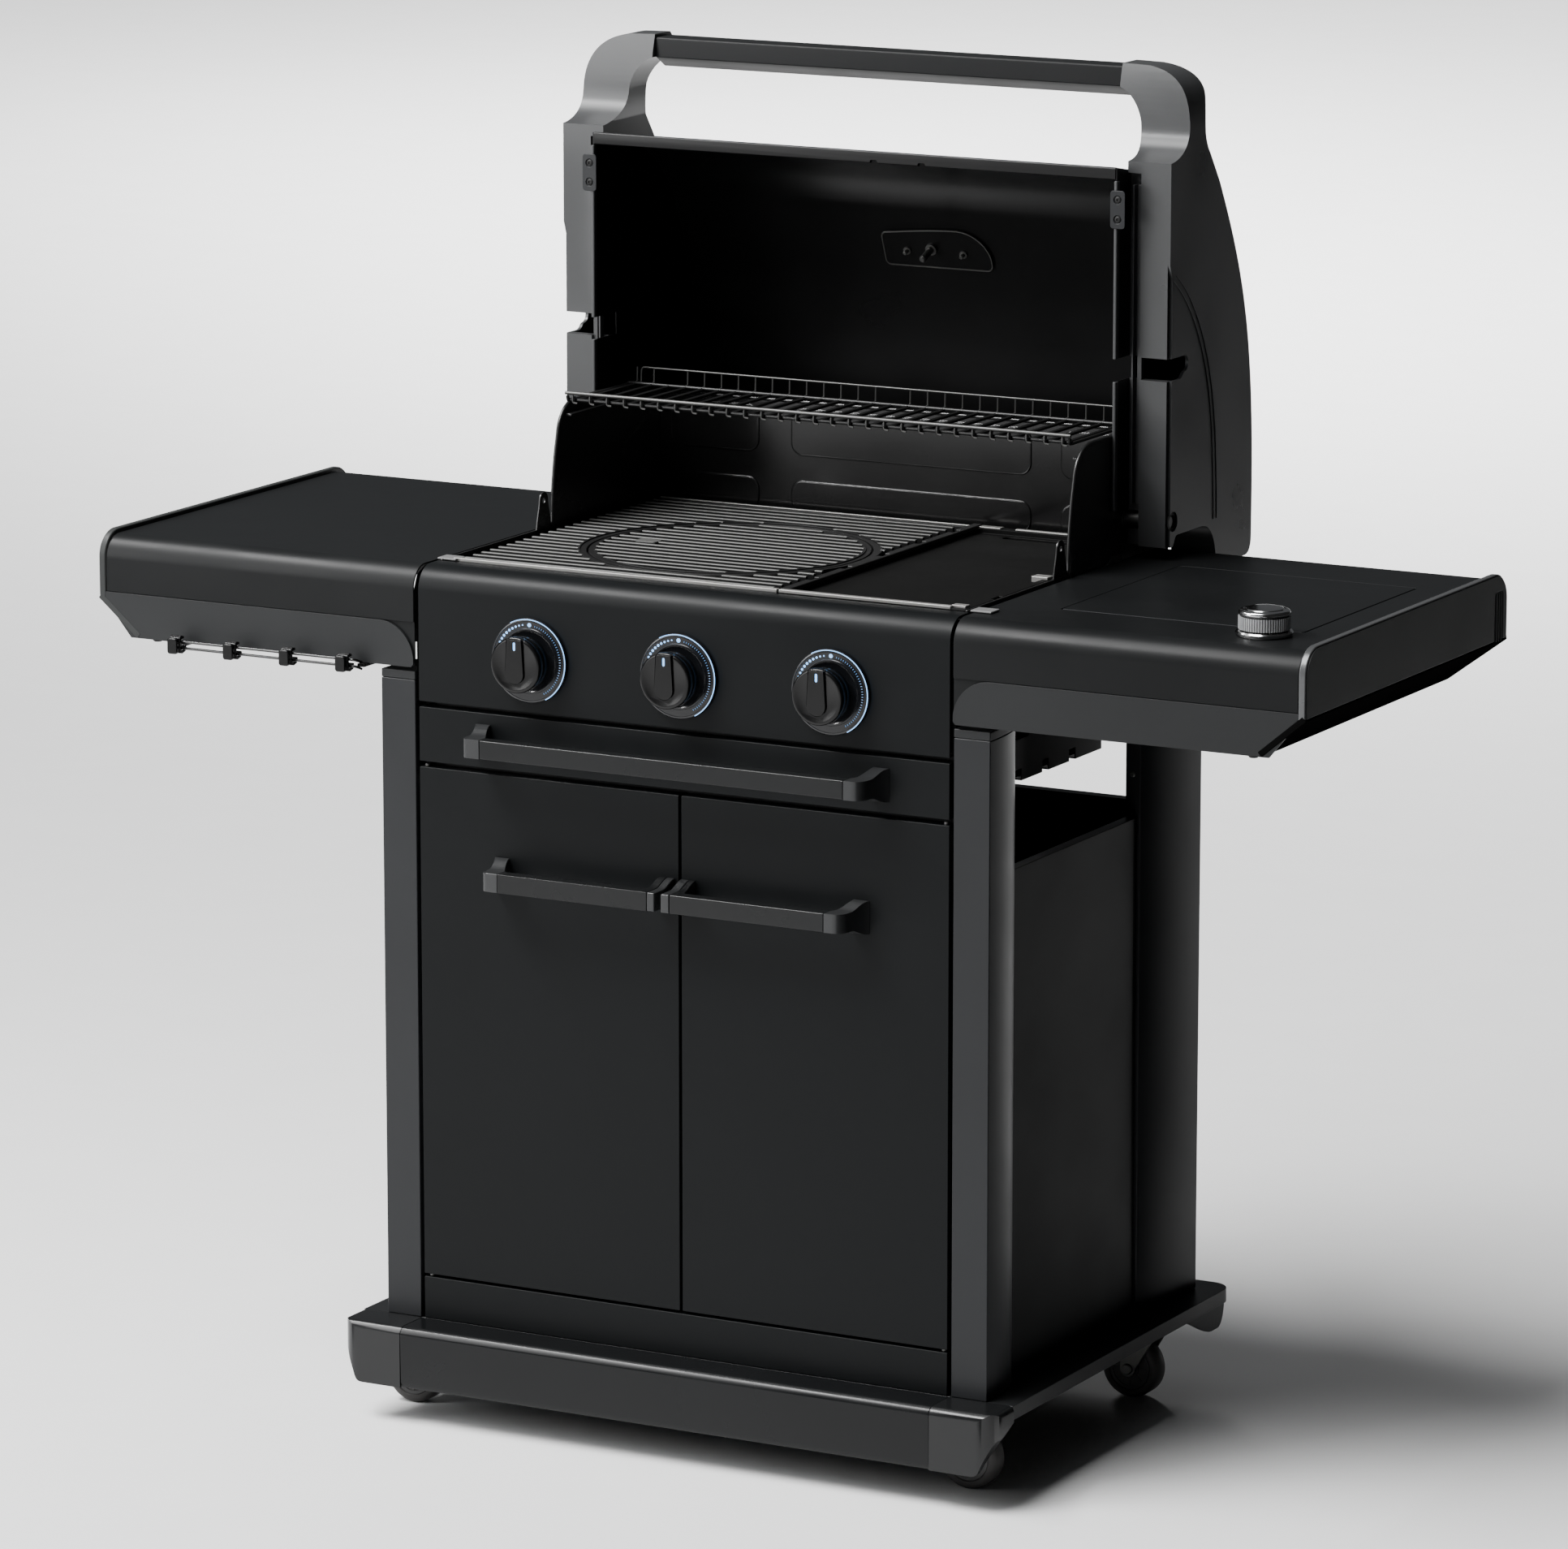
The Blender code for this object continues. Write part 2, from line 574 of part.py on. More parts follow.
def make_knob(name, x, turn):
    face, r = KNOB_FACE, KNOB_RADIUS
    profile = [(face, r - 0.0015), (face + 0.0015, r), (face + 0.009, r), (face + 0.0105, r - 0.002),
               (face + 0.012, r - 0.003), (face + 0.021, r - 0.002), (face + 0.0225, r - 0.004)]
    knob = turned(name, profile, "y", x, KNOB_Z, "knob_black", 32)
    half = 0.0062
    grip = arc(x, KNOB_Z - 0.009, half + 0.001, 180, 360, 8)
    grip += [(x + half, KNOB_Z + r - 0.004), (x - half, KNOB_Z + r - 0.004)]
    join(knob, prism("grip", grip, "y", (face - 0.0025, face + 0.004)))
    cut(knob, rod("bore", "y", x, KNOB_Z, STEM_RADIUS + STEM_PLAY, (face + 0.011, 0.0)))
    carry(knob, turn)


def make_gas_train():
    y = MANIFOLD_Y
    manifold = rod("gas_manifold", "x", y + 0.006, KNOB_Z, MANIFOLD_RADIUS, (-0.200, 0.255), "steel_bright", 20)
    for x in (-KNOB_PITCH, 0, KNOB_PITCH):
        join(manifold, box("valve", (x - 0.011, x + 0.011), (0.010, 0.0365), (KNOB_Z - 0.013, KNOB_Z + 0.013)))
    for x in (-KNOB_PITCH, 0, KNOB_PITCH):
        deep = y + KNOB_PUSH + 0.001
        cut(manifold, rod("bore", "y", x, KNOB_Z, STEM_RADIUS + STEM_PLAY, (0.0, deep), sides=24))
    join(manifold, rod("inlet", "z", 0.245, y + 0.006, 0.0065, (KNOB_Z - 0.040, KNOB_Z), sides=6))
    for number, x in enumerate((-KNOB_PITCH, 0, KNOB_PITCH), 1):
        rod(f"burner_{number}", "y", x, KNOB_Z, BURNER_RADIUS, (0.0370, 0.448), "steel_bright", 20)


# ---------------------------------------------------------------- firebox, grates, rack
def make_firebox():
    wall = BOX_WALL
    x, y = (-BOX_HALF, BOX_HALF), (BOX_FRONT, BOX_BACK)
    floor_x = (-BOX_HALF + FUNNEL_IN_X, BOX_HALF - FUNNEL_IN_X)
    floor_y = (BOX_FRONT + FUNNEL_IN_Y, BOX_BACK - FUNNEL_IN_Y)
    firebox = box("firebox", x, y, (BOX_SHOULDER, BOX_WALL_TOP), "enamel_black")
    join(firebox, frustum("funnel", floor_x, floor_y, BOX_FLOOR, x, y, BOX_SHOULDER))
    inner_x, inner_y = (x[0] + wall, x[1] - wall), (y[0] + wall, y[1] - wall)
    well_x = (floor_x[0] + wall, floor_x[1] - wall)
    well_y = (floor_y[0] + wall, floor_y[1] - wall)
    cut(firebox, box("cavity", inner_x, inner_y, (BOX_SHOULDER, BOX_WALL_TOP + 0.1)),
        frustum("well", well_x, well_y, BOX_FLOOR + wall, inner_x, inner_y, BOX_SHOULDER + 0.0001),
        box("drain", (-0.060, 0.060), (0.223, 0.303), (BOX_FLOOR - 0.01, BOX_FLOOR + 0.01)))
    radius = 0.034
    wing = [(BOX_FRONT - 0.01, BOX_RIM), (WING_FRONT, BOX_RIM), (WING_FRONT + 0.008, 0.960)]
    wing += arc(WING_FRONT + 0.011 + radius, BOX_WALL_TOP - radius, radius, 170, 90, 5)[1:]
    wing += [(WING_FRONT + 0.05, BOX_WALL_TOP + 0.01), (BOX_FRONT - 0.01, BOX_WALL_TOP + 0.01)]
    cut(firebox, prism("wing_cut", wing, "x", (-0.4, 0.4)),
        box("rear_drop", (-BOX_HALF + 0.02, BOX_HALF - 0.02), (BOX_BACK - 0.02, BOX_BACK + 0.02), (0.985, 1.1)))
    add_supports(firebox)
    for px in (-KNOB_PITCH, 0, KNOB_PITCH):
        cut(firebox, rod("burner_hole", "y", px, KNOB_Z, BURNER_RADIUS + 0.002, (BOX_FRONT - 0.02, 0.090), sides=24))
    for side in SIDES.values():
        add_side_fittings(firebox, side)


def add_supports(firebox):
    """Ledges that carry the grates, the diffuser and the warming rack."""
    ledge_top = GRATE_TOP - GRATE_THICK - GAP
    half = BOX_HALF - BOX_WALL / 2
    front_in, back_in = BOX_FRONT + 0.002, BOX_BACK - 0.002
    join(firebox, box("front_ledge", (-half, half), (front_in, GRATE_FRONT + 0.012), (ledge_top - 0.004, ledge_top)),
         box("back_ledge", (-half, half), (GRATE_BACK - 0.008, back_in), (ledge_top - 0.004, ledge_top)))
    for side in SIDES.values():
        reach = span(side, BOX_HALF - 0.010, BOX_HALF - 0.002)
        join(firebox, box("diffuser_ledge", reach, (0.120, 0.420), (0.826, 0.830)),
             box("rack_ledge", reach, (RACK_FRONT + 0.010, RACK_BACK), (RACK_Z - 0.016, RACK_Z - RACK_WIRE / 2 - GAP)))


def add_side_fittings(firebox, side):
    """Spit tab, hood pin, mounting lugs and the runner that carries the drip tray."""
    tab = [(SPIT_Y - 0.017, BOX_RIM - 0.015), (SPIT_Y + 0.017, BOX_RIM - 0.015)]
    tab += arc(SPIT_Y, SPIT_TAB_TOP - 0.012, 0.012, 20, 160, 6)
    spit = prism("spit_tab", tab, "x", span(side, BOX_HALF - 0.0025, BOX_HALF - GAP))
    cut(spit, rod("spit_hole", "x", SPIT_Y, SPIT_TAB_TOP - 0.011, 0.003, (-0.4, 0.4), sides=16))
    join(firebox, spit,
         rod("hood_pin", "x", HOOD_PIN_Y, HOOD_PIN_Z, PIN_RADIUS, span(side, BOX_HALF - 0.002, HOOD_END_OUT - 0.002)))
    lug_z = (POST_TOP + GAP, FASCIA_LOW - 0.0006)
    reach = span(side, BOX_HALF - 0.040, POST_OUT - POST_TUCK - 0.006)
    join(firebox, box("front_lug", reach, (0.052, 0.090), lug_z), box("rear_lug", reach, (0.405, 0.440), lug_z))
    runner = [(0.2735, 0.6775), (0.2755, 0.6775), (0.2755, 0.7830), (0.2735, 0.7830)]
    shelf = [(0.2640, 0.6775), (0.2745, 0.6775), (0.2745, 0.6800), (0.2640, 0.6800)]
    join(firebox, prism("runner", mirrored(runner, side), "y", (0.080, 0.378)),
         prism("runner_shelf", mirrored(shelf, side), "y", (0.080, 0.378)))


def slot_tools(x_reach, y_reach, z_reach, rib):
    """One tool of slots along X, with a rib left uncut across the middle."""
    bm = bmesh.new()
    count = int((y_reach[1] - y_reach[0] - SLOT_WIDTH) / SLOT_PITCH) + 1
    middle = (x_reach[0] + x_reach[1]) / 2
    used = (count - 1) * SLOT_PITCH + SLOT_WIDTH
    start = (y_reach[0] + y_reach[1] - used) / 2
    for i in range(count):
        low = start + i * SLOT_PITCH
        for x0, x1 in ((x_reach[0], middle - rib / 2), (middle + rib / 2, x_reach[1])):
            matrix_place = Vector(((x0 + x1) / 2, low + SLOT_WIDTH / 2, sum(z_reach) / 2))
            made = bmesh.ops.create_cube(bm, size=1.0)["verts"]
            size = Vector((x1 - x0, SLOT_WIDTH, z_reach[1] - z_reach[0]))
            bmesh.ops.scale(bm, vec=size, verts=made)
            bmesh.ops.translate(bm, vec=matrix_place, verts=made)
    return add_solid("slots", bm, None)


def make_grates():
    low, top = GRATE_TOP - GRATE_THICK, GRATE_TOP
    through = (low - 0.01, top + 0.01)
    lift = pivot("lift_grate", (0, 0, low), CART)
    main = box("grate_main", (GRATE_LEFT, GRATE_SPLIT - GRATE_PLAY / 2), (GRATE_FRONT, GRATE_BACK), (low, top), "iron_grey")
    hole = INSERT_RADIUS + GRATE_PLAY
    slots = slot_tools((GRATE_LEFT + 0.008, GRATE_SPLIT - 0.010), (GRATE_FRONT + 0.008, GRATE_BACK - 0.008), through, 0.006)
    cut(slots, rod("ring", "z", INSERT_X, INSERT_Y, hole + 0.006, (low - 0.02, top + 0.02), sides=48))
    cut(main, slots, rod("hole", "z", INSERT_X, INSERT_Y, hole - INSERT_LEDGE, through, sides=48),
        rod("seat", "z", INSERT_X, INSERT_Y, hole, (low + 0.003, top + 0.01), sides=48))
    carry(main, lift)
    lift_insert = pivot("lift_insert", (INSERT_X, INSERT_Y, low), lift)
    insert = rod("grate_insert", "z", INSERT_X, INSERT_Y, INSERT_RADIUS, (low + 0.003 + GAP, top), "iron_grey", 48)
    ring = INSERT_RADIUS - 0.013
    bars = slot_tools((INSERT_X - ring, INSERT_X + ring), (INSERT_Y - ring, INSERT_Y + ring), through, 0.006)
    keep(bars, rod("inner", "z", INSERT_X, INSERT_Y, ring, (low - 0.02, top + 0.02), sides=48))
    cut(insert, bars)
    carry(insert, lift_insert)
    lift_griddle = pivot("lift_griddle", (0, 0, low), CART)
    x = (GRATE_SPLIT + GRATE_PLAY / 2, GRATE_RIGHT)
    griddle = box("griddle", x, (GRATE_FRONT, GRATE_BACK), (low, top), "enamel_black")
    cut(griddle, box("dish", (x[0] + 0.009, x[1] - 0.007), (GRATE_FRONT + 0.007, GRATE_BACK - 0.012), (low + 0.005, top + 0.01)),
        box("drain", (x[0] + 0.040, x[1] - 0.040), (GRATE_BACK - 0.030, GRATE_BACK - 0.018), through))
    carry(griddle, lift_griddle)


def make_diffuser_and_rack():
    half = BOX_HALF - 0.0060
    diffuser = box("heat_diffuser", (-half, half), (0.090, 0.440), (0.8303, 0.8323), "steel_bright")
    for column in range(-2, 3):
        for row in range(4):
            x = column * 0.105
            y = 0.130 + row * 0.090
            cut(diffuser, box("vent", (x - 0.036, x + 0.036), (y - 0.008, y + 0.008), (0.82, 0.84)))
    wire = RACK_WIRE / 2
    rack = box("warming_rack", (-RACK_HALF, RACK_HALF), (RACK_FRONT, RACK_BACK), (RACK_Z - wire, RACK_Z + wire), "steel_bright")
    columns = 9
    pitch = (2 * RACK_HALF - RACK_WIRE) / columns
    for i in range(columns):
        x0 = -RACK_HALF + RACK_WIRE + i * pitch
        cut(rack, box("gap", (x0, x0 + pitch - RACK_WIRE), (RACK_FRONT + RACK_WIRE, RACK_BACK - RACK_WIRE), (0.99, 1.02)))
    top = RACK_Z + 0.019
    back = (RACK_BACK - RACK_WIRE, RACK_BACK)
    join(rack, box("rail", (-RACK_HALF, RACK_HALF), back, (top - 0.003, top)))
    for i in range(columns + 1):
        x = -RACK_HALF + RACK_WIRE / 2 + i * pitch
        join(rack, box("wire", (x - 0.0015, x + 0.0015), (back[0] + 0.0005, back[1] - 0.0005), (RACK_Z, top - 0.0015)))


# ---------------------------------------------------------------- hood
HOOD_CURVE = ((HOOD_BACK, 0.872), (0.578, 1.060), (0.560, 1.130), (0.490, 1.245))


def hood_shell_section(inset):
    """The steel shell's section, open at its front and foot; inset draws its inside."""
    if inset == 0:
        points = [(HOOD_LIP + 0.003, HOOD_RIM_TOP - 0.012), (HOOD_LIP + 0.003, HOOD_RIM_TOP), (0.440, 1.2525),
                  (0.470, 1.240), (0.493, 1.222)]
        curve = bezier(*HOOD_CURVE, steps=10)[:-2]
        points += [(a - 0.001, b) for a, b in reversed(curve)]
        points += [(0.566, HOOD_FOOT), (0.4915, HOOD_FOOT), (0.4890, 0.870), (0.4700, 0.896), (0.455, 0.904)]
        return points + [(0.4200, HOOD_LIP_LOW), (HOOD_LIP, HOOD_LIP_LOW), (HOOD_LIP, HOOD_RIM_TOP - 0.012)]
    points = [(HOOD_LIP - 0.02, HOOD_RIM_TOP - 0.012), (HOOD_LIP + 0.003 + inset, HOOD_RIM_TOP - 0.012),
              (HOOD_LIP + 0.003 + inset, HOOD_RIM_TOP - 2 * inset), (0.440 - inset, 1.2525 - inset),
              (0.470 - inset, 1.240 - inset), (0.493 - 1.4 * inset, 1.222 - 0.5 * inset)]
    curve = bezier(*HOOD_CURVE, steps=10)[:-2]
    points += [(a - 0.001 - inset, b - 0.3 * inset) for a, b in reversed(curve)]
    return points + [(0.564 - inset, HOOD_FOOT - 0.03), (HOOD_LIP - 0.02, HOOD_FOOT - 0.03)]


def make_hood():
    hinge = pivot("hinge_hood", (0, HOOD_PIN_Y, HOOD_PIN_Z), CART)
    shell = prism("hood_shell", hood_shell_section(0), "x", (-HOOD_HALF, HOOD_HALF), "hood_black")
    inside = prism("inside", hood_shell_section(HOOD_SKIN), "x", (-HOOD_INNER, HOOD_INNER))
    notch = box("notch", (-0.4, 0.4), (HOOD_LIP - 0.02, 0.400), (NOTCH_LOW, NOTCH_HIGH))
    dial_eye = tilted(rod("dial_eye", "y", 0, DIAL_Z, 0.005, (DIAL_Y - 0.04, DIAL_Y + 0.04), sides=16))
    cut(shell, inside, notch, dial_eye)
    carry(shell, hinge)
    for name, side in SIDES.items():
        make_hood_end(name, side, hinge)
    make_hood_handle(hinge)
    make_thermometer(hinge)


def hood_end_side(inset):
    """Side view of a hood end; the inset one draws the pocket behind its flange."""
    i = inset
    front = HOOD_FLANGE + i
    points = [(front, HOOD_END_LOW + i), (front, HORN_FOOT - i)]
    if inset == 0:
        points += bezier((HOOD_FLANGE, HORN_FOOT), (0.400, HORN_FOOT + 0.004), (HORN_FACE, 1.282), (HORN_FACE, 1.306), 6)[1:]
        points += [(HORN_FACE, HORN_TOP), (0.464, HORN_TOP), (0.470, 1.345), (0.458, 1.322), (0.456, 1.298), (0.466, 1.276)]
    curve = bezier(*HOOD_CURVE, steps=10)
    points += [(a - i, b - i) for a, b in reversed(curve)]
    points += [(0.569 - i, HOOD_FOOT + i), (0.4915 + i, HOOD_FOOT + i), (0.4895 + i, 0.868), (0.481 + i, 0.888 + i),
               (0.466 + i, 0.8985 + i), (0.398, 0.8985 + i), (0.392, HOOD_END_LOW + i)]
    return points


def make_hood_end(name, side, hinge):
    inner = HOOD_HALF + 0.0005
    front = [(inner, 0.84), (HOOD_END_OUT, 0.84), (HOOD_END_OUT, 1.300)]
    front += bezier((HOOD_END_OUT, 1.300), (HOOD_END_OUT, 1.345), (0.330, HORN_TOP), (0.292, HORN_TOP), 8)[1:]
    front += [(HORN_MEET, HORN_TOP), (HORN_MEET, HORN_TOP - 0.023)]
    front += bezier((HORN_MEET, HORN_TOP - 0.023), (0.284, 1.334), (0.294, 1.312), (inner, 1.290), 6)[1:]
    end = prism("hood_end_" + name, mirrored(front, side), "y", (0.36, 0.60), "cast_grey")
    keep(end, prism("side_view", hood_end_side(0), "x", (-0.5, 0.5)))
    pocket = prism("pocket", hood_end_side(HOOD_CAST), "x", span(side, inner - 0.01, HOOD_END_OUT - HOOD_CAST))
    recess = box("recess", span(side, inner - 0.01, HOOD_RECESS), (0.36, 0.40), (HOOD_END_LOW - 0.01, HORN_FOOT - 0.012))
    step = box("step", span(side, HOOD_END_OUT - 0.0025, HOOD_END_OUT + 0.01), (0.36, 0.384), (0.84, 1.165))
    notch = rectangle(0.36, NOTCH_END - 0.010, NOTCH_LOW, NOTCH_HIGH)[:2]
    notch += arc(NOTCH_END - 0.010, NOTCH_HIGH - 0.0135, 0.010, -60, 90, 6) + [(0.36, NOTCH_HIGH)]
    cut(end, pocket, recess, step, prism("notch", notch, "x", (-0.5, 0.5)),
        rod("pin_hole", "x", HOOD_PIN_Y + 0.003, HOOD_PIN_Z, 0.0105, (-0.5, 0.5), sides=28))
    carry(end, hinge)


def make_hood_handle(hinge):
    face = HORN_FACE + 0.0105
    section = [(face, 1.3400), (face, 1.3575), (face + 0.003, 1.3605), (0.458, 1.3605), (0.463, 1.3560),
               (0.466, 1.3440), (0.458, 1.3300), (face + 0.0190, 1.3296)]
    half = HORN_MEET - GAP
    carry(prism("hood_handle", section, "x", (-half, half), "handle_satin"), hinge)


def tilted(obj):
    """Lean a solid drawn along Y so that it stands square on the hood at the dial."""
    place = Vector((0, DIAL_Y, DIAL_Z))
    lean = Matrix.Rotation(math.radians(DIAL_LEAN), 4, "X")
    obj.data.transform(Matrix.Translation(place) @ lean @ Matrix.Translation(-place))
    return obj


def make_thermometer(hinge):
    """Dial on the hood's outer face, its stem through the shell."""
    face = DIAL_Y + GAP
    profile = [(DIAL_Y - 0.030, 0.004), (face, 0.004), (face, 0.020), (face + 0.0015, 0.033), (face + 0.009, 0.033),
               (face + 0.010, 0.031)]
    carry(tilted(turned("thermometer", profile, "y", 0, DIAL_Z, "steel_bright", 32)), hinge)


# ---------------------------------------------------------------- side shelves
def make_shelf(name, side):
    cap_in = OVERALL_WIDTH / 2 - CAP_WIDTH
    reach = span(side, SHELF_IN, cap_in - GAP)
    sheet = rolled_sheet(FASCIA_TOP + GAP, SHELF_DEPTH, FASCIA_TOP + GAP, front=-0.002)
    top = prism(f"shelf_{name}_top", sheet, "x", reach, "panel_black")
    if side > 0:
        hole_x = (LID_X[0] - LID_GAP, LID_X[1] + LID_GAP)
        hole_y = (LID_Y[0] - LID_GAP, LID_Y[1] + LID_GAP)
        cut(top, box("lid_hole", hole_x, hole_y, (0.86, 0.89)),
            rod("knob_hole", "z", SIDE_KNOB_X, SIDE_KNOB_Y, 0.006, (0.86, 0.89), sides=16))
    make_shelf_frame(name, side, cap_in)


def make_shelf_frame(name, side, cap_in):
    """End cap, sloped underside, and front and rear fascias moulded in one."""
    out = OVERALL_WIDTH / 2
    low_x = out - SLOPE_RUN
    front, back = -0.0035, SHELF_DEPTH + 0.007
    top = SHELF_HEIGHT + CAP_RISE
    r = EDGE_RADIUS + 0.003
    profile = [(front, CAP_LOW)] + arc(front + r, top - r, r, 180, 90, 6)
    profile += arc(back - r, top - r, r, 90, 0, 6) + [(back, CAP_LOW)]
    frame = prism(f"shelf_{name}_frame", profile, "x", span(side, cap_in, out), "post_grey")
    hollow = [(front + 0.004, CAP_LOW - 0.01), (front + 0.004, top - r), (front + r, top - 0.0065),
              (back - r, top - 0.0065), (back - 0.004, top - r), (back - 0.004, CAP_LOW - 0.01)]
    cut(frame, prism("hollow", hollow, "x", span(side, cap_in - 0.01, out - WALL)))
    slope = [(out, CAP_LOW + 0.004), (out, CAP_LOW), (low_x, FASCIA_LOW), (low_x - 0.006, FASCIA_LOW),
             (low_x - 0.006, FASCIA_LOW + 0.0025), (low_x - 0.001, FASCIA_LOW + 0.0025),
             (out - WALL, CAP_LOW + 0.0025), (out - WALL, CAP_LOW + 0.004)]
    skin = prism("slope", mirrored(slope, side), "y", (front, back))
    tail = 0.432
    below = [(tail, FASCIA_LOW - 0.01), (tail, FASCIA_LOW), (back, CAP_LOW - 0.001), (back + 0.01, CAP_LOW + 0.008),
             (back + 0.01, FASCIA_LOW - 0.01)]
    cut(skin, prism("below", below, "x", (-0.8, 0.8)))
    closing = prism("closing", [(tail - 0.001, FASCIA_LOW + 0.0001), (tail + 0.0005, FASCIA_LOW + 0.0001),
                                (back - 0.0002, CAP_LOW - 0.0005), (back - 0.0002, CAP_LOW + 0.003),
                                (tail - 0.001, FASCIA_LOW + 0.003)], "x", span(side, low_x - 0.0055, out - 0.0005))
    above = [(low_x - 0.01, FASCIA_LOW + 0.0005), (low_x, FASCIA_LOW + 0.0005), (out, CAP_LOW + 0.0005), (out, 0.83),
             (low_x - 0.01, 0.83)]
    keep(closing, prism("above", mirrored(above, side), "y", (0.4, 0.5)))
    fascia = [(low_x - 0.002, FASCIA_LOW + 0.0002), (low_x + 0.001, FASCIA_LOW + 0.002), (out - 0.001, CAP_LOW + 0.001),
              (out - 0.001, FASCIA_TOP)]
    fascia += arc(SHELF_IN + 0.040, FASCIA_TOP - 0.040, 0.040, 90, 180, 7)
    fascia += [(SHELF_IN, FASCIA_LOW + 0.0002)]
    face = front + 0.0012
    join(frame, skin, closing, prism("fascia", mirrored(fascia, side), "y", (face, face + WALL)),
         box("rear_fascia", span(side, SHELF_IN, out - 0.001), (back - WALL - 0.0005, back - 0.0005), (CAP_LOW, FASCIA_TOP)),
         box("rib", span(side, SHELF_IN, SHELF_IN + WALL), (face + 0.001, back - 0.0015), (0.7975, FASCIA_TOP - 0.001)))
    for y in (0.085, 0.385):
        join(frame, box("bracket", span(side, BOX_HALF + GAP, SHELF_IN + 0.001), (y, y + 0.030), (0.802, 0.815)))


def make_hook_rail():
    """A rail in front of the left fascia with four hooks along it."""
    last = HOOK_FIRST + 3 * HOOK_PITCH
    rail = rod("hook_rail", "x", RAIL_Y, RAIL_Z, RAIL_RADIUS, (HOOK_FIRST - 0.012, last + 0.020), "steel_bright", 12)
    for i in range(4):
        x = HOOK_FIRST + i * HOOK_PITCH
        side_view = [(RAIL_Y - 0.008, RAIL_Z + 0.016), (RAIL_Y - 0.011, RAIL_Z + 0.013), (RAIL_Y - 0.011, RAIL_Z - 0.005),
                     (RAIL_Y - 0.006, RAIL_Z - 0.010), (RAIL_Y + 0.006, RAIL_Z - 0.010), (RAIL_Y + 0.010, RAIL_Z - 0.004),
                     (RAIL_Y + 0.007, RAIL_Z - 0.003), (RAIL_Y + 0.004, RAIL_Z + 0.004), (RAIL_Y - 0.007, RAIL_Z + 0.004)]
        join(rail, prism("hook", side_view, "x", (x - 0.007, x + 0.007)))
    for x in (HOOK_FIRST - 0.008, last + 0.016):
        under = FASCIA_LOW - 0.0005
        join(rail, box("arm", (x - 0.003, x + 0.003), (RAIL_Y, 0.018), (under - 0.004, under)),
             box("tab", (x - 0.003, x + 0.003), (0.004, 0.018), (under - 0.004, FASCIA_LOW + 0.020)))


def make_side_burner():
    top = SHELF_HEIGHT - LID_THICK - 0.001
    x, y = (LID_X[0] - 0.006, LID_X[1] + 0.006), (LID_Y[0] - 0.006, LID_Y[1] + 0.006)
    bowl = box("side_burner", x, y, (0.838, top), "enamel_black")
    inner_x, inner_y = (x[0] + 0.012, x[1] - 0.012), (y[0] + 0.012, y[1] - 0.012)
    cut(bowl, box("basin", inner_x, inner_y, (0.840, 0.90)))
    middle_x, middle_y = (LID_X[0] + LID_X[1]) / 2, (LID_Y[0] + LID_Y[1]) / 2
    join(bowl, rod("burner_head", "z", middle_x, middle_y, 0.032, (0.839, 0.857), sides=32))
    for angle in (0, 90):
        along_x, along_y = (0.118, 0.002) if angle == 0 else (0.002, 0.122)
        join(bowl, box("bar", (middle_x - along_x, middle_x + along_x), (middle_y - along_y, middle_y + along_y),
                       (0.8555, 0.8665)))
    lid_hinge = pivot("hinge_side_lid", (middle_x, LID_Y[1] - 0.0014, SHELF_HEIGHT - LID_THICK / 2), CART)
    lid = box("side_burner_lid", LID_X, LID_Y, (SHELF_HEIGHT - LID_THICK, SHELF_HEIGHT), "panel_black")
    carry(lid, lid_hinge)
    make_side_knob()


def make_side_knob():
    x, y, r = SIDE_KNOB_X, SIDE_KNOB_Y, SIDE_KNOB_RADIUS
    low = SHELF_HEIGHT + 0.0015
    turn = pivot("turn_side_knob", (x, y, low), CART)
    profile = [(low, r - 0.002), (low + 0.001, r), (low + 0.004, r), (low + 0.006, r - 0.002), (low + 0.018, r - 0.002),
               (low + 0.020, r - 0.0015), (low + 0.024, r - 0.003), (low + 0.0265, r - 0.008)]
    knob = turned("side_burner_knob", profile, "z", x, y, "steel_bright", 32)
    join(knob, rod("spindle", "z", x, y, 0.005, (low - 0.010, low + 0.004), sides=20))
    carry(knob, turn)


# ---------------------------------------------------------------- build
clear_scene()
CART = bpy.data.objects.new("cart", None)
bpy.context.scene.collection.objects.link(CART)
CART.location = (0, ORIGIN_Y, 0)
make_base()
for caster_place, caster_y in (("front", CASTER_FRONT), ("rear", CASTER_BACK)):
    for caster_side in SIDES.values():
        make_caster(caster_place, caster_side, caster_y)
make_posts()
make_panels()
make_control_panel()
make_doors()
make_drawer()
make_knobs()
make_gas_train()
make_firebox()
make_grates()
make_diffuser_and_rack()
make_hood()
for shelf_name, shelf_side in SIDES.items():
    make_shelf(shelf_name, shelf_side)
make_hook_rail()
make_side_burner()
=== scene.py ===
"""Looks of the gas barbecue grill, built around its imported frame.

Sizes are metres.  In the builders y is counted from the doors' front plane (FRONT), so a
size here is the same as the one that the CAD was drawn with.
"""

import math

import bmesh
import bpy
from mathutils import Matrix, Vector


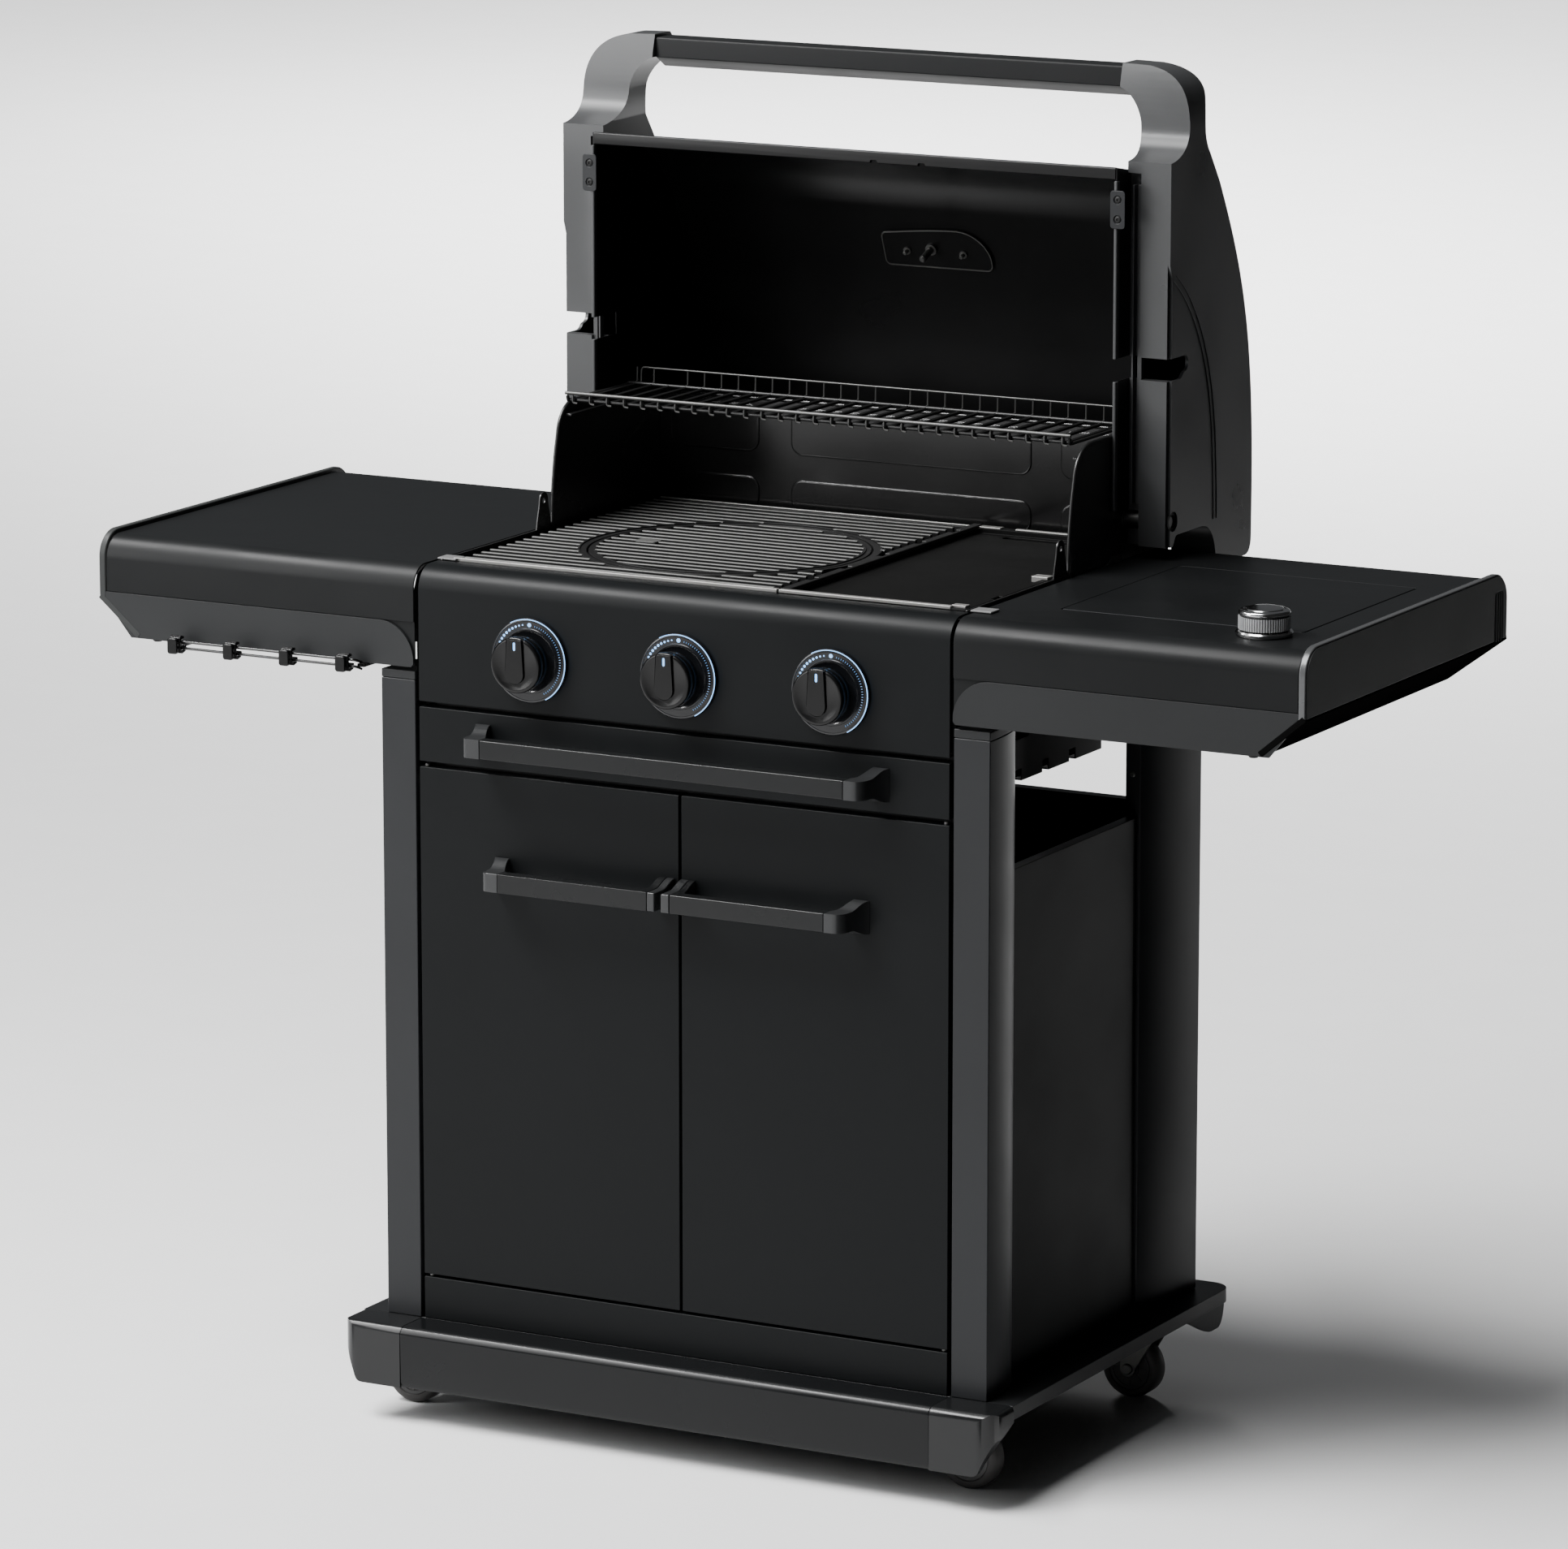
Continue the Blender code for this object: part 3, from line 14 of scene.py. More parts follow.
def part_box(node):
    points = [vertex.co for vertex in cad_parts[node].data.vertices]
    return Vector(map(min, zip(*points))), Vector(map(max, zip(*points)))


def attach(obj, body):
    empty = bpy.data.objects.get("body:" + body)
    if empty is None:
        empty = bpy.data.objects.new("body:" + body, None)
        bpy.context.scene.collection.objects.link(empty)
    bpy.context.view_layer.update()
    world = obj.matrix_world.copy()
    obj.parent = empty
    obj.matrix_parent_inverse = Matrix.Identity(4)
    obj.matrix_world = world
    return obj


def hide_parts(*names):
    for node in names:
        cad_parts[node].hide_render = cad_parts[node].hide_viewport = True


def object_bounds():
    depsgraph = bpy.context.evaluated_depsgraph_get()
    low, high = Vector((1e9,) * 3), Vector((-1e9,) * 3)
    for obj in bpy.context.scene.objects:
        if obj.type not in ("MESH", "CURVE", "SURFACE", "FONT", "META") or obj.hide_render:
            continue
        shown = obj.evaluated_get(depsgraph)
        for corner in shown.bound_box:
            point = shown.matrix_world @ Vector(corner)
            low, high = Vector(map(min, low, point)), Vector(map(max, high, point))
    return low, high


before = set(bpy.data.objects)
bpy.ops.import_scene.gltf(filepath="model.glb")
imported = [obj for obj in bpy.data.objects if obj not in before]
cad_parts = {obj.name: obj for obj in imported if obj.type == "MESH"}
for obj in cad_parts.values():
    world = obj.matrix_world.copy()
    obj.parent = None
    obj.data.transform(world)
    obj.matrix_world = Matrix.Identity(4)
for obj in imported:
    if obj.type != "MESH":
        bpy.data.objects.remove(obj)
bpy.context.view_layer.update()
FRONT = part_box("door_left")[0].y
SIDES = {"left": -1, "right": 1}


def ext(node):
    """A CAD node's box as x0, x1, y0, y1, z0, z1, with y counted from FRONT."""
    low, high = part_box(node)
    return low.x, high.x, low.y - FRONT, high.y - FRONT, low.z, high.z


def near_far(node):
    """How near to and how far from the middle a CAD node lies, left or right."""
    x0, x1 = ext(node)[:2]
    return sorted((abs(x0), abs(x1)))


def middle(node, axis):
    """Where a CAD node's middle is along x, y or z."""
    low, high = ext(node)[2 * axis:2 * axis + 2]
    return (low + high) / 2


# ------------------------------------------------------------------ outlines
def arc(a, b, radius, start, end, steps=8):
    angles = [math.radians(start + (end - start) * i / steps) for i in range(steps + 1)]
    return [(a + radius * math.cos(t), b + radius * math.sin(t)) for t in angles]


def circle(a, b, radius, sides=32):
    return arc(a, b, radius, 0, 360, sides)[:-1]


def rect(a0, a1, b0, b1):
    return [(a0, b0), (a1, b0), (a1, b1), (a0, b1)]


def round_rect(a0, a1, b0, b1, r, steps=5):
    points = arc(a1 - r, b1 - r, r, 0, 90, steps) + arc(a0 + r, b1 - r, r, 90, 180, steps)
    return points + arc(a0 + r, b0 + r, r, 180, 270, steps) + arc(a1 - r, b0 + r, r, 270, 360, steps)


def bez(p0, p1, p2, p3, steps=16):
    points = []
    for i in range(steps + 1):
        t = i / steps
        w = ((1 - t) ** 3, 3 * t * (1 - t) ** 2, 3 * t * t * (1 - t), t ** 3)
        points.append(tuple(sum(k * p[c] for k, p in zip(w, (p0, p1, p2, p3))) for c in (0, 1)))
    return points


def trace(*steps):
    """An outline from points and curves; a curve is its two handles, its end and its step count."""
    line = []
    for step in steps:
        if isinstance(step[0], tuple):
            line += bez(line[-1], *step)[1:]
        else:
            line.append(step)
    return line


def mir(outline, side):
    return [(side * a, b) for a, b in outline]


def span(side, low, high):
    return (low, high) if side > 0 else (-high, -low)


def strip(points, thickness):
    """A closed outline: an open line of points and its copy moved to the left of its run."""
    moved = []
    for i, p in enumerate(points):
        before, after = points[max(i - 1, 0)], points[min(i + 1, len(points) - 1)]
        d0 = Vector((p[0] - before[0], p[1] - before[1]))
        d1 = Vector((after[0] - p[0], after[1] - p[1]))
        normals = [Vector((-d.y, d.x)).normalized() for d in (d0, d1) if d.length > 1e-9]
        normal = sum(normals, Vector((0, 0))).normalized()
        reach = thickness / max(normal.dot(normals[0]), 0.5)
        moved.append((p[0] + normal.x * reach, p[1] + normal.y * reach))
    return points + moved[::-1]


# ------------------------------------------------------------------ mesh builders
def place(axis, a, b, c):
    return {"x": (c, a, b), "y": (a, c, b), "z": (a, b, c)}[axis]


def skin_between(bm, lower, upper):
    """Faces from one closed loop of points to another that has as many."""
    for i in range(len(lower)):
        j = (i + 1) % len(lower)
        bm.faces.new((lower[i], lower[j], upper[j], upper[i]))


def prism(outline, axis, low, high):
    bm = bmesh.new()
    ends = [[bm.verts.new(place(axis, a, b, c)) for a, b in outline] for c in (low, high)]
    bm.faces.new(ends[0])
    bm.faces.new(ends[1])
    skin_between(bm, *ends)
    return bm


def cuboid(x0, x1, y0, y1, z0, z1):
    return prism(rect(x0, x1, y0, y1), "z", z0, z1)


def lathe(profile, axis, a, b, sides=48):
    """Turn (distance along axis, radius) about an axis through (a, b)."""
    bm = bmesh.new()
    rings = []
    for along, radius in profile:
        rings.append([bm.verts.new(place(axis, a + c, b + s, along)) for c,
                      s in circle(0, 0, max(radius, 1e-5), sides)])
    for lower, upper in zip(rings, rings[1:]):
        skin_between(bm, lower, upper)
    bm.faces.new(rings[0])
    bm.faces.new(rings[-1])
    return bm


def rod(start, end, radius, axis, a, b, sides=48):
    """A plain round bar about an axis through (a, b)."""
    return lathe([(start, radius), (end, radius)], axis, a, b, sides)


def ring(outer, inner, axis, a, b, low, high, start=0, end=360, sides=64):
    """A flat ring or part of one, between two radii."""
    if end - start >= 360:
        bm = bmesh.new()
        loops = [[bm.verts.new(place(axis, p, q, c)) for p, q in circle(a, b, r, sides)]
                 for r, c in ((outer, low), (outer, high), (inner, high), (inner, low))]
        for k in range(4):
            skin_between(bm, loops[k], loops[(k + 1) % 4])
        return bm
    return prism(arc(a, b, outer, start, end, sides) + arc(a, b, inner, end, start, sides), axis, low, high)


def tube(points, radius, sides=8, closed=False):
    """A round wire along points."""
    bm = bmesh.new()
    points = [Vector(p) for p in points]
    count = len(points)
    rings = []
    side = None
    for i, p in enumerate(points):
        if closed:
            run = (points[(i + 1) % count] - points[i - 1]).normalized()
        else:
            run = (points[min(i + 1, count - 1)] - points[max(i - 1, 0)]).normalized()
        if side is None:
            side = run.orthogonal().normalized()
        else:
            side = (side - run * side.dot(run)).normalized()
        up = run.cross(side)
        rings.append([bm.verts.new(p + radius * (side * math.cos(t) + up * math.sin(t)))
                      for t in (2 * math.pi * k / sides for k in range(sides))])
    pairs = list(zip(rings, rings[1:])) + ([(rings[-1], rings[0])] if closed else [])
    for lower, upper in pairs:
        skin_between(bm, lower, upper)
    if not closed:
        bm.faces.new(rings[0])
        bm.faces.new(rings[-1])
    return bm


def fillet(points, radius, steps=4):
    """Round the inner corners of a path of 3-D points."""
    points = [Vector(p) for p in points]
    out = [points[0]]
    for before, at, after in zip(points, points[1:], points[2:]):
        one, two = (before - at), (after - at)
        cut = min(radius, one.length * 0.45, two.length * 0.45)
        start, end = at + one.normalized() * cut, at + two.normalized() * cut
        for i in range(steps + 1):
            t = i / steps
            out.append(start * (1 - t) ** 2 + at * 2 * t * (1 - t) + end * t * t)
    return out + [points[-1]]


def merge(*parts):
    bm = bmesh.new()
    for part in parts:
        bmesh.ops.recalc_face_normals(part, faces=part.faces)
        mesh = bpy.data.meshes.new("part")
        part.to_mesh(mesh)
        part.free()
        bm.from_mesh(mesh)
        bpy.data.meshes.remove(mesh)
    return bm


def linked(name, bm):
    """An object in the scene that holds the mesh."""
    mesh = bpy.data.meshes.new(name)
    bm.to_mesh(mesh)
    bm.free()
    obj = bpy.data.objects.new(name, mesh)
    bpy.context.scene.collection.objects.link(obj)
    return obj


def temporary(bm):
    bmesh.ops.recalc_face_normals(bm, faces=bm.faces)
    return linked("temporary", bm)


def carve(bm, *tools, operation="DIFFERENCE"):
    """Boolean the tools into the mesh, and hand back the new mesh."""
    base = temporary(bm)
    helpers = [temporary(t) for t in tools]
    for helper in helpers:
        modifier = base.modifiers.new("carve", "BOOLEAN")
        modifier.operation = operation
        modifier.solver = "EXACT"
        modifier.object = helper
    graph = bpy.context.evaluated_depsgraph_get()
    mesh = bpy.data.meshes.new_from_object(base.evaluated_get(graph))
    out = bmesh.new()
    out.from_mesh(mesh)
    bpy.data.meshes.remove(mesh)
    for obj in [base] + helpers:
        data = obj.data
        bpy.data.objects.remove(obj)
        bpy.data.meshes.remove(data)
    bmesh.ops.dissolve_limit(out, angle_limit=math.radians(0.5), verts=out.verts, edges=out.edges)
    return out


def turn(bm, degrees, axis, centre):
    """Turn a mesh about an axis through a point."""
    move = Matrix.Translation(Vector(centre))
    bm.transform(move @ Matrix.Rotation(math.radians(degrees), 4, axis) @ move.inverted())
    return bm


def piece(name, bm, material, body, bevel=0.0, segments=3, angle=35, smooth=35, stands_for=()):
    """Link a mesh as a finished piece that rides on a body."""
    bmesh.ops.recalc_face_normals(bm, faces=bm.faces)
    for vert in bm.verts:
        vert.co.y += FRONT
    obj = linked(name, bm)
    mesh = obj.data
    mesh.materials.append(material)
    mesh.shade_smooth()
    if bevel:
        edge = obj.modifiers.new("edge", "BEVEL")
        edge.width = bevel
        edge.segments = segments
        edge.limit_method = "ANGLE"
        edge.angle_limit = math.radians(angle)
        edge.harden_normals = True
    else:
        mesh.set_sharp_from_angle(angle=math.radians(smooth))
    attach(obj, body)
    if stands_for:
        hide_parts(*stands_for)
    return obj


def screw(axis, out, a, b, at, radius=0.0035, height=0.0016):
    """A domed screw head with a socket; out is +1 or -1 along the axis."""
    profile = [(0.0, radius), (height * 0.45, radius), (height * 0.85, radius * 0.82),
               (height, radius * 0.55),
               (height, radius * 0.42), (height * 0.25, radius * 0.36)]
    return lathe([(at + out * d, r) for d, r in profile], axis, a, b, 20)


# ------------------------------------------------------------------ materials
def surface(name, colour, rough, metallic=0.0, level=0.5, mottle=0.10, grain=1500.0, bump=0.05, vary=0.05,
            stretch=(1, 1, 1), coarse=9.0, depth=0.0002):
    """A painted, moulded or cast surface: fine grain, slow drift of tone and of gloss."""
    material = bpy.data.materials.new(name)
    material.use_nodes = True
    nodes, links = material.node_tree.nodes, material.node_tree.links
    shader = nodes["Principled BSDF"]
    shader.inputs["Metallic"].default_value = metallic
    shader.inputs["Specular IOR Level"].default_value = level
    coords = nodes.new("ShaderNodeTexCoord")
    mapping = nodes.new("ShaderNodeMapping")
    mapping.inputs["Scale"].default_value = stretch
    links.new(coords.outputs["Object"], mapping.inputs["Vector"])
    slow = nodes.new("ShaderNodeTexNoise")
    slow.inputs["Scale"].default_value = coarse
    slow.inputs["Detail"].default_value = 4.0
    fine = nodes.new("ShaderNodeTexNoise")
    fine.inputs["Scale"].default_value = grain
    fine.inputs["Detail"].default_value = 2.0
    links.new(coords.outputs["Object"], slow.inputs["Vector"])
    links.new(mapping.outputs["Vector"], fine.inputs["Vector"])
    ramp = nodes.new("ShaderNodeValToRGB")
    ramp.color_ramp.elements[0].position = 0.3
    ramp.color_ramp.elements[1].position = 0.7
    ramp.color_ramp.elements[0].color = (*[c * (1 - mottle) for c in colour], 1)
    ramp.color_ramp.elements[1].color = (*[c * (1 + mottle) for c in colour], 1)
    links.new(slow.outputs["Fac"], ramp.inputs["Fac"])
    speck = nodes.new("ShaderNodeMixRGB")
    speck.blend_type = "OVERLAY"
    speck.inputs["Fac"].default_value = 0.18
    links.new(ramp.outputs["Color"], speck.inputs["Color1"])
    links.new(fine.outputs["Color"], speck.inputs["Color2"])
    links.new(speck.outputs["Color"], shader.inputs["Base Color"])
    gloss = nodes.new("ShaderNodeMapRange")
    gloss.inputs["From Min"].default_value = 0.3
    gloss.inputs["From Max"].default_value = 0.7
    gloss.inputs["To Min"].default_value = rough - vary
    gloss.inputs["To Max"].default_value = rough + vary
    links.new(slow.outputs["Fac"], gloss.inputs["Value"])
    links.new(gloss.outputs["Result"], shader.inputs["Roughness"])
    relief = nodes.new("ShaderNodeBump")
    relief.inputs["Strength"].default_value = bump
    relief.inputs["Distance"].default_value = depth
    links.new(fine.outputs["Fac"], relief.inputs["Height"])
    links.new(relief.outputs["Normal"], shader.inputs["Normal"])
    return material


def glow(name, colour, strength):
    material = surface(name, (0.02, 0.04, 0.08), 0.3, grain=3000)
    shader = material.node_tree.nodes["Principled BSDF"]
    shader.inputs["Emission Color"].default_value = (*colour, 1)
    shader.inputs["Emission Strength"].default_value = strength
    return material


PANEL = surface("panel_powder_coat", (0.0056, 0.0062, 0.0066), 0.38, level=0.10, bump=0.20, grain=1700,
                mottle=0.06)
PANEL_TOP = surface("shelf_powder_coat", (0.0072, 0.0077, 0.0080), 0.38, level=0.13, bump=0.22, grain=1700,
                    mottle=0.06)
FASCIA = surface("base_fascia_coat", (0.0050, 0.0054, 0.0058), 0.24, level=0.20, bump=0.10, grain=1700,
                 mottle=0.06)
CHARCOAL = surface("charcoal_paint", (0.0158, 0.0166, 0.0180), 0.36, level=0.22, bump=0.22, grain=1500,
                   mottle=0.06)
CORNER = surface("base_corner_paint", (0.0078, 0.0082, 0.0086), 0.24, level=0.34, bump=0.06, grain=1500,
                 mottle=0.04, vary=0.0)
MOULDED = surface("charcoal_moulding", (0.0168, 0.0176, 0.0183), 0.42, level=0.20, bump=0.30, grain=2200,
                  mottle=0.06)
CAP = surface("end_cap_moulding", (0.0300, 0.0312, 0.0310), 0.40, level=0.15, bump=0.30, grain=2200,
              mottle=0.06)
# A lighter, half-metallic copy of the end cap's moulding, for the right cap only: painted highlight.
CAP_HIGHLIGHT = surface("end_cap_painted_highlight", (0.100, 0.102, 0.104), 0.26, metallic=0.5, level=0.5, bump=0.15,
                   grain=1800, mottle=0.05)
BASE_TOP = surface("base_moulding", (0.0110, 0.0115, 0.0120), 0.34, level=0.35, bump=0.25, grain=2200,
                   mottle=0.06)
CAST = surface("hood_casting_paint", (0.0500, 0.0512, 0.0525), 0.32, metallic=0.15, level=0.45, bump=0.18,
               grain=1300, mottle=0.06)
HOOD = surface("hood_enamel", (0.0042, 0.0042, 0.0044), 0.30, level=0.22, bump=0.03, grain=700, mottle=0.08,
               vary=0.03)
ENAMEL = surface("firebox_enamel", (0.0120, 0.0120, 0.0120), 0.27, level=0.50, bump=0.04, grain=600,
                 mottle=0.10, vary=0.03)
REAR_WALL = surface("rear_wall_enamel", (0.0045, 0.0045, 0.0045), 0.17, level=0.65, bump=0.03, grain=600,
                    mottle=0.10, vary=0.03)
# Lighter grey for the grate bars' crowns: a painted highlight on their tops, over the black iron of the bars.
IRON_HIGHLIGHT = surface("cast_iron_painted_highlight", (0.092, 0.092, 0.089), 0.48, metallic=0.3, bump=0.40, grain=900, mottle=0.12,
               vary=0.06)
DARK_IRON = surface("cast_iron_black", (0.0080, 0.0080, 0.0080), 0.46, level=0.30, bump=0.40, grain=900,
                    mottle=0.1, vary=0.05)
GRIDDLE = surface("griddle_enamel", (0.0050, 0.0050, 0.0049), 0.50, level=0.08, bump=0.25, grain=1600,
                  mottle=0.08, vary=0.05)
# One wire in two tones: the rails are painted lighter as a highlight and the cross wires darker as painted
# shade.
WIRE_HIGHLIGHT = surface("rack_wire_painted_highlight", (0.075, 0.075, 0.073), 0.34, metallic=0.6, bump=0.08, grain=900)
WIRE_SHADE = surface("rack_cross_wire_painted_shade", (0.016, 0.016, 0.016), 0.38, metallic=0.3, bump=0.08, grain=900)
STEEL = surface("plain_steel", (0.32, 0.31, 0.30), 0.36, metallic=1.0, bump=0.12, grain=500,
                stretch=(0.05, 1, 1))
CHROME = surface("chrome", (0.62, 0.62, 0.62), 0.14, metallic=1.0, bump=0.02, grain=900, mottle=0.03,
                 vary=0.03)
RAIL = surface("rail_wire", (0.050, 0.050, 0.050), 0.28, metallic=1.0, bump=0.05, grain=900)
ZINC = surface("zinc_plate", (0.13, 0.13, 0.125), 0.40, metallic=0.8, bump=0.15, grain=700, mottle=0.2)
RUNNER = surface("runner_paint", (0.014, 0.014, 0.014), 0.40, level=0.35, bump=0.15, grain=900)
KNOB = surface("knob_plastic", (0.0022, 0.0022, 0.0023), 0.24, level=0.28, bump=0.10, grain=2600, mottle=0.05,
               vary=0.03)
BEZEL = surface("bezel_plastic", (0.0070, 0.0075, 0.0090), 0.20, level=0.50, bump=0.05, grain=2600,
                mottle=0.05, vary=0.03)
BEZEL_BAND = surface("bezel_band", (0.035, 0.031, 0.029), 0.28, metallic=0.5, bump=0.04, grain=2600)
HANDLE = surface("handle_satin", (0.0060, 0.0064, 0.0067), 0.28, level=0.25, bump=0.14, grain=1400,
                 stretch=(0.2, 1, 1), mottle=0.06)
HOOD_BAR = surface("hood_handle_satin", (0.0115, 0.0119, 0.0123), 0.34, level=0.10, bump=0.14, grain=1400,
                   stretch=(0.2, 1, 1), mottle=0.06)
HANDLE_CAP = surface("handle_cap_satin", (0.030, 0.031, 0.032), 0.28, metallic=0.4, level=0.5, bump=0.12,
                     grain=1400, mottle=0.05)
KNURL = surface("side_knob_grip", (0.36, 0.365, 0.37), 0.40, metallic=0.3, bump=0.10, grain=1500)
TYRE = surface("wheel_tyre", (0.044, 0.042, 0.041), 0.50, level=0.25, bump=0.35, grain=1800, mottle=0.06)
HUB = surface("wheel_hub", (0.016, 0.016, 0.016), 0.38, bump=0.25, grain=1800)
RUBBER = surface("black_rubber", (0.007, 0.007, 0.007), 0.55, level=0.3, bump=0.3, grain=2000)
PAD = surface("buffer_grey", (0.13, 0.13, 0.13), 0.50, bump=0.25, grain=2000)
BRASS = surface("brass", (0.42, 0.29, 0.12), 0.35, metallic=1.0, bump=0.10, grain=900)
DIAL = surface("dial_white", (0.62, 0.62, 0.60), 0.45, bump=0.02, grain=2000, mottle=0.03)
DIAL_MARK = surface("dial_mark", (0.02, 0.02, 0.02), 0.45, bump=0.02, grain=2000)
DIAL_RED = surface("dial_needle", (0.45, 0.03, 0.02), 0.40, bump=0.02, grain=2000)
SIDE = surface("side_panel_coat", (0.0040, 0.0043, 0.0044), 0.42, level=0.12, bump=0.20, grain=1700,
               mottle=0.06)
# Black without gloss for faces that lie in shadow: painted shade.
PAINTED_SHADE = surface("underside_painted_shade", (0.0040, 0.0040, 0.0040), 0.60, level=0.0, bump=0.2, grain=2000)
# Light metal for the grate's rim edges and studs and the griddle's edges: painted highlight.
EDGE_HIGHLIGHT = surface("edge_painted_highlight", (0.300, 0.295, 0.285), 0.36, metallic=0.6, bump=0.20, grain=900, mottle=0.12)
LED = glow("led_blue", (0.26, 0.55, 1.0), 2.6)
LED_SOFT = glow("led_blue_soft", (0.22, 0.50, 1.0), 0.7)


def dress(material, *names):
    """Give CAD nodes that stay a finished material and smooth shading."""
    for name in names:
        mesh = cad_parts[name].data
        mesh.materials.clear()
        mesh.materials.append(material)
        mesh.shade_smooth()
        mesh.set_sharp_from_angle(angle=math.radians(30))


# ------------------------------------------------------------------ cabinet
def folded_pan(x0, x1, y0, y1, z0, z1, wall=0.0015):
    return carve(cuboid(x0, x1, y0, y1, z0, z1),
                 cuboid(x0 + wall, x1 - wall, y0 + wall, y1 + 0.01, z0 + wall, z1 - wall))


def build_doors():
    for name, side in SIDES.items():
        node = "door_" + name
        x0, x1, y0, y1, z0, z1 = ext(node)
        piece(node + "_skin", folded_pan(x0, x1, y0, y1, z0, z1), PANEL, node, bevel=0.0014,
              stands_for=[node])
        inner = [cuboid(x0 + 0.03, x1 - 0.03, y0 + 0.0016, y0 + 0.0090, z, z + 0.022)
                 for z in (z0 + 0.09, z1 - 0.10)]
        stile = sorted((side * 0.262, side * 0.286))
        inner.append(cuboid(stile[0], stile[1], y0 + 0.0016, y0 + 0.0120, z0 + 0.03, z1 - 0.03))
        piece(node + "_stiffeners", merge(*inner), PANEL, node, bevel=0.002)
        pin = side * 0.2917
        pins = [rod(z, z + 0.0028, 0.0028, "z", pin, 0.006, 20) for z in (z0 - 0.0029, z1)]
        latch = cuboid(*sorted((side * 0.006, side * 0.030)), y0 + 0.0016, y0 + 0.005, z1 - 0.045, z1 - 0.020)
        piece(node + "_pins", merge(*pins, latch), ZINC, node, bevel=0.0003)


BAR_FRONT, BAR_BACK = -0.0424, -0.0284


def handle_end(at, side, flare, corner):
    """Plan of one end of a handle, from its front face to its foot and back to the bar's rear."""
    foot, foot_y = 0.017, -0.0004
    turns = [math.radians(t) for t in range(0, 91, 9)]
    line = [(at - side * corner * (1 - math.sin(t)), BAR_FRONT + corner * (1 - math.cos(t))) for t in turns]
    if flare:
        line += bez((at, BAR_BACK - 0.004), (at + side * 0.001, -0.016), (at + side * flare * 0.5, -0.006),
                    (at + side * flare, foot_y), 8)
    else:
        line += [(at, foot_y)]
    root = at + side * (flare - foot)
    return line + bez((root, foot_y), (root - side * 0.001, -0.010),
                      (at - side * (foot - 0.001), BAR_BACK + 0.006),
                      (at - side * (foot + 0.003), BAR_BACK), 8)


def build_handle(name, body, z, left, right, flares, caps, corners):
    """A bar between two feet, in a bar piece and two cap pieces."""
    rise = 0.0168
    low, high = z - 0.0095, z + 0.0095
    plan = handle_end(right, 1, flares[1], corners[1]) + handle_end(left, -1, flares[0], corners[0])[::-1]
    shank = BAR_BACK + 0.004
    section = trace((BAR_FRONT - 0.01, low), (shank, low),
                    ((BAR_BACK + 0.012, low), (-0.010, z - rise), (0.002, z - rise), 8), (0.002, z + rise),
                    ((-0.010, z + rise), (BAR_BACK + 0.012, high), (shank, high), 8),
                    (BAR_FRONT - 0.01, high))
    gap = 0.00025
    for part, ends, material in (("bar", (left + caps[0], right - caps[1]), HANDLE),
                                 ("cap_left", (left - 0.05, left + caps[0] - gap), HANDLE_CAP),
                                 ("cap_right", (right - caps[1] + gap, right + 0.05), HANDLE_CAP)):
        bm = carve(prism(plan, "z", z - rise, z + rise), prism(section, "x", *ends), operation="INTERSECT")
        piece(f"{name}_{part}", bm, material, body, bevel=0.0013, angle=40,
              stands_for=[name] if part == "bar" else ())


def build_handles():
    z = middle("drawer_handle", 2)
    build_handle("drawer_handle", "drawer", z, -0.2242, 0.2242, (0.008, 0.008), (0.0205, 0.0205),
                 (0.007, 0.012))
    z = middle("door_handle_left", 2)
    build_handle("door_handle_left", "door_left", z, -0.2030, -0.0055, (0.008, 0.0), (0.019, 0.009),
                 (0.007, 0.0015))
    build_handle("door_handle_right", "door_right", z, 0.0012, 0.2030, (0.0, 0.008), (0.010, 0.0205),
                 (0.0015, 0.012))


def build_drawer():
    x0, x1, y0, y1, z0, z1 = ext("drawer_front")
    piece("drawer_skin", folded_pan(x0, x1, y0, y1, z0, z1), PANEL, "drawer", bevel=0.0014,
          stands_for=["drawer_front"])
    x0, x1, y0, y1, z0, z1 = ext("drip_tray")
    tray = folded_pan_up(x0, x1, y0, y1, z0, z1)
    rim = [tube([(x0 + 0.001, y, z1 - 0.0008) for y in (y0, y1)], 0.0014),
           tube([(x1 - 0.001, y, z1 - 0.0008) for y in (y0, y1)], 0.0014)]
    groove = [tube([(x0 + 0.03 + i * 0.06, y, z0 + 0.0017) for y in (y0 + 0.05, y1 - 0.04)], 0.0012)
              for i in range(9)]
    piece("drip_tray_pan", merge(tray, *rim, *groove), ENAMEL, "drawer", smooth=40, stands_for=["drip_tray"])


def folded_pan_up(x0, x1, y0, y1, z0, z1, wall=0.0015):
    return carve(cuboid(x0, x1, y0, y1, z0, z1),
                 cuboid(x0 + wall, x1 - wall, y0 + wall, y1 - wall, z0 + wall, z1 + 0.01))


def rolled(low, front, back, back_low, radius=0.024, sheet=0.002, top=0.8749, lip=0.0):
    """Section of a sheet with a rolled front edge, and a rolled rear one if back_low is given."""
    line = []
    if lip:
        line.append((front + lip, low))
    line += [(front, low)] + arc(front + radius, top - radius, radius, 180, 90, 20)
    if back_low is None:
        line.append((back, top))
    else:
        line += arc(back - radius, top - radius, radius, 90, 0, 20) + [(back, back_low)]
    return strip(line, -sheet)


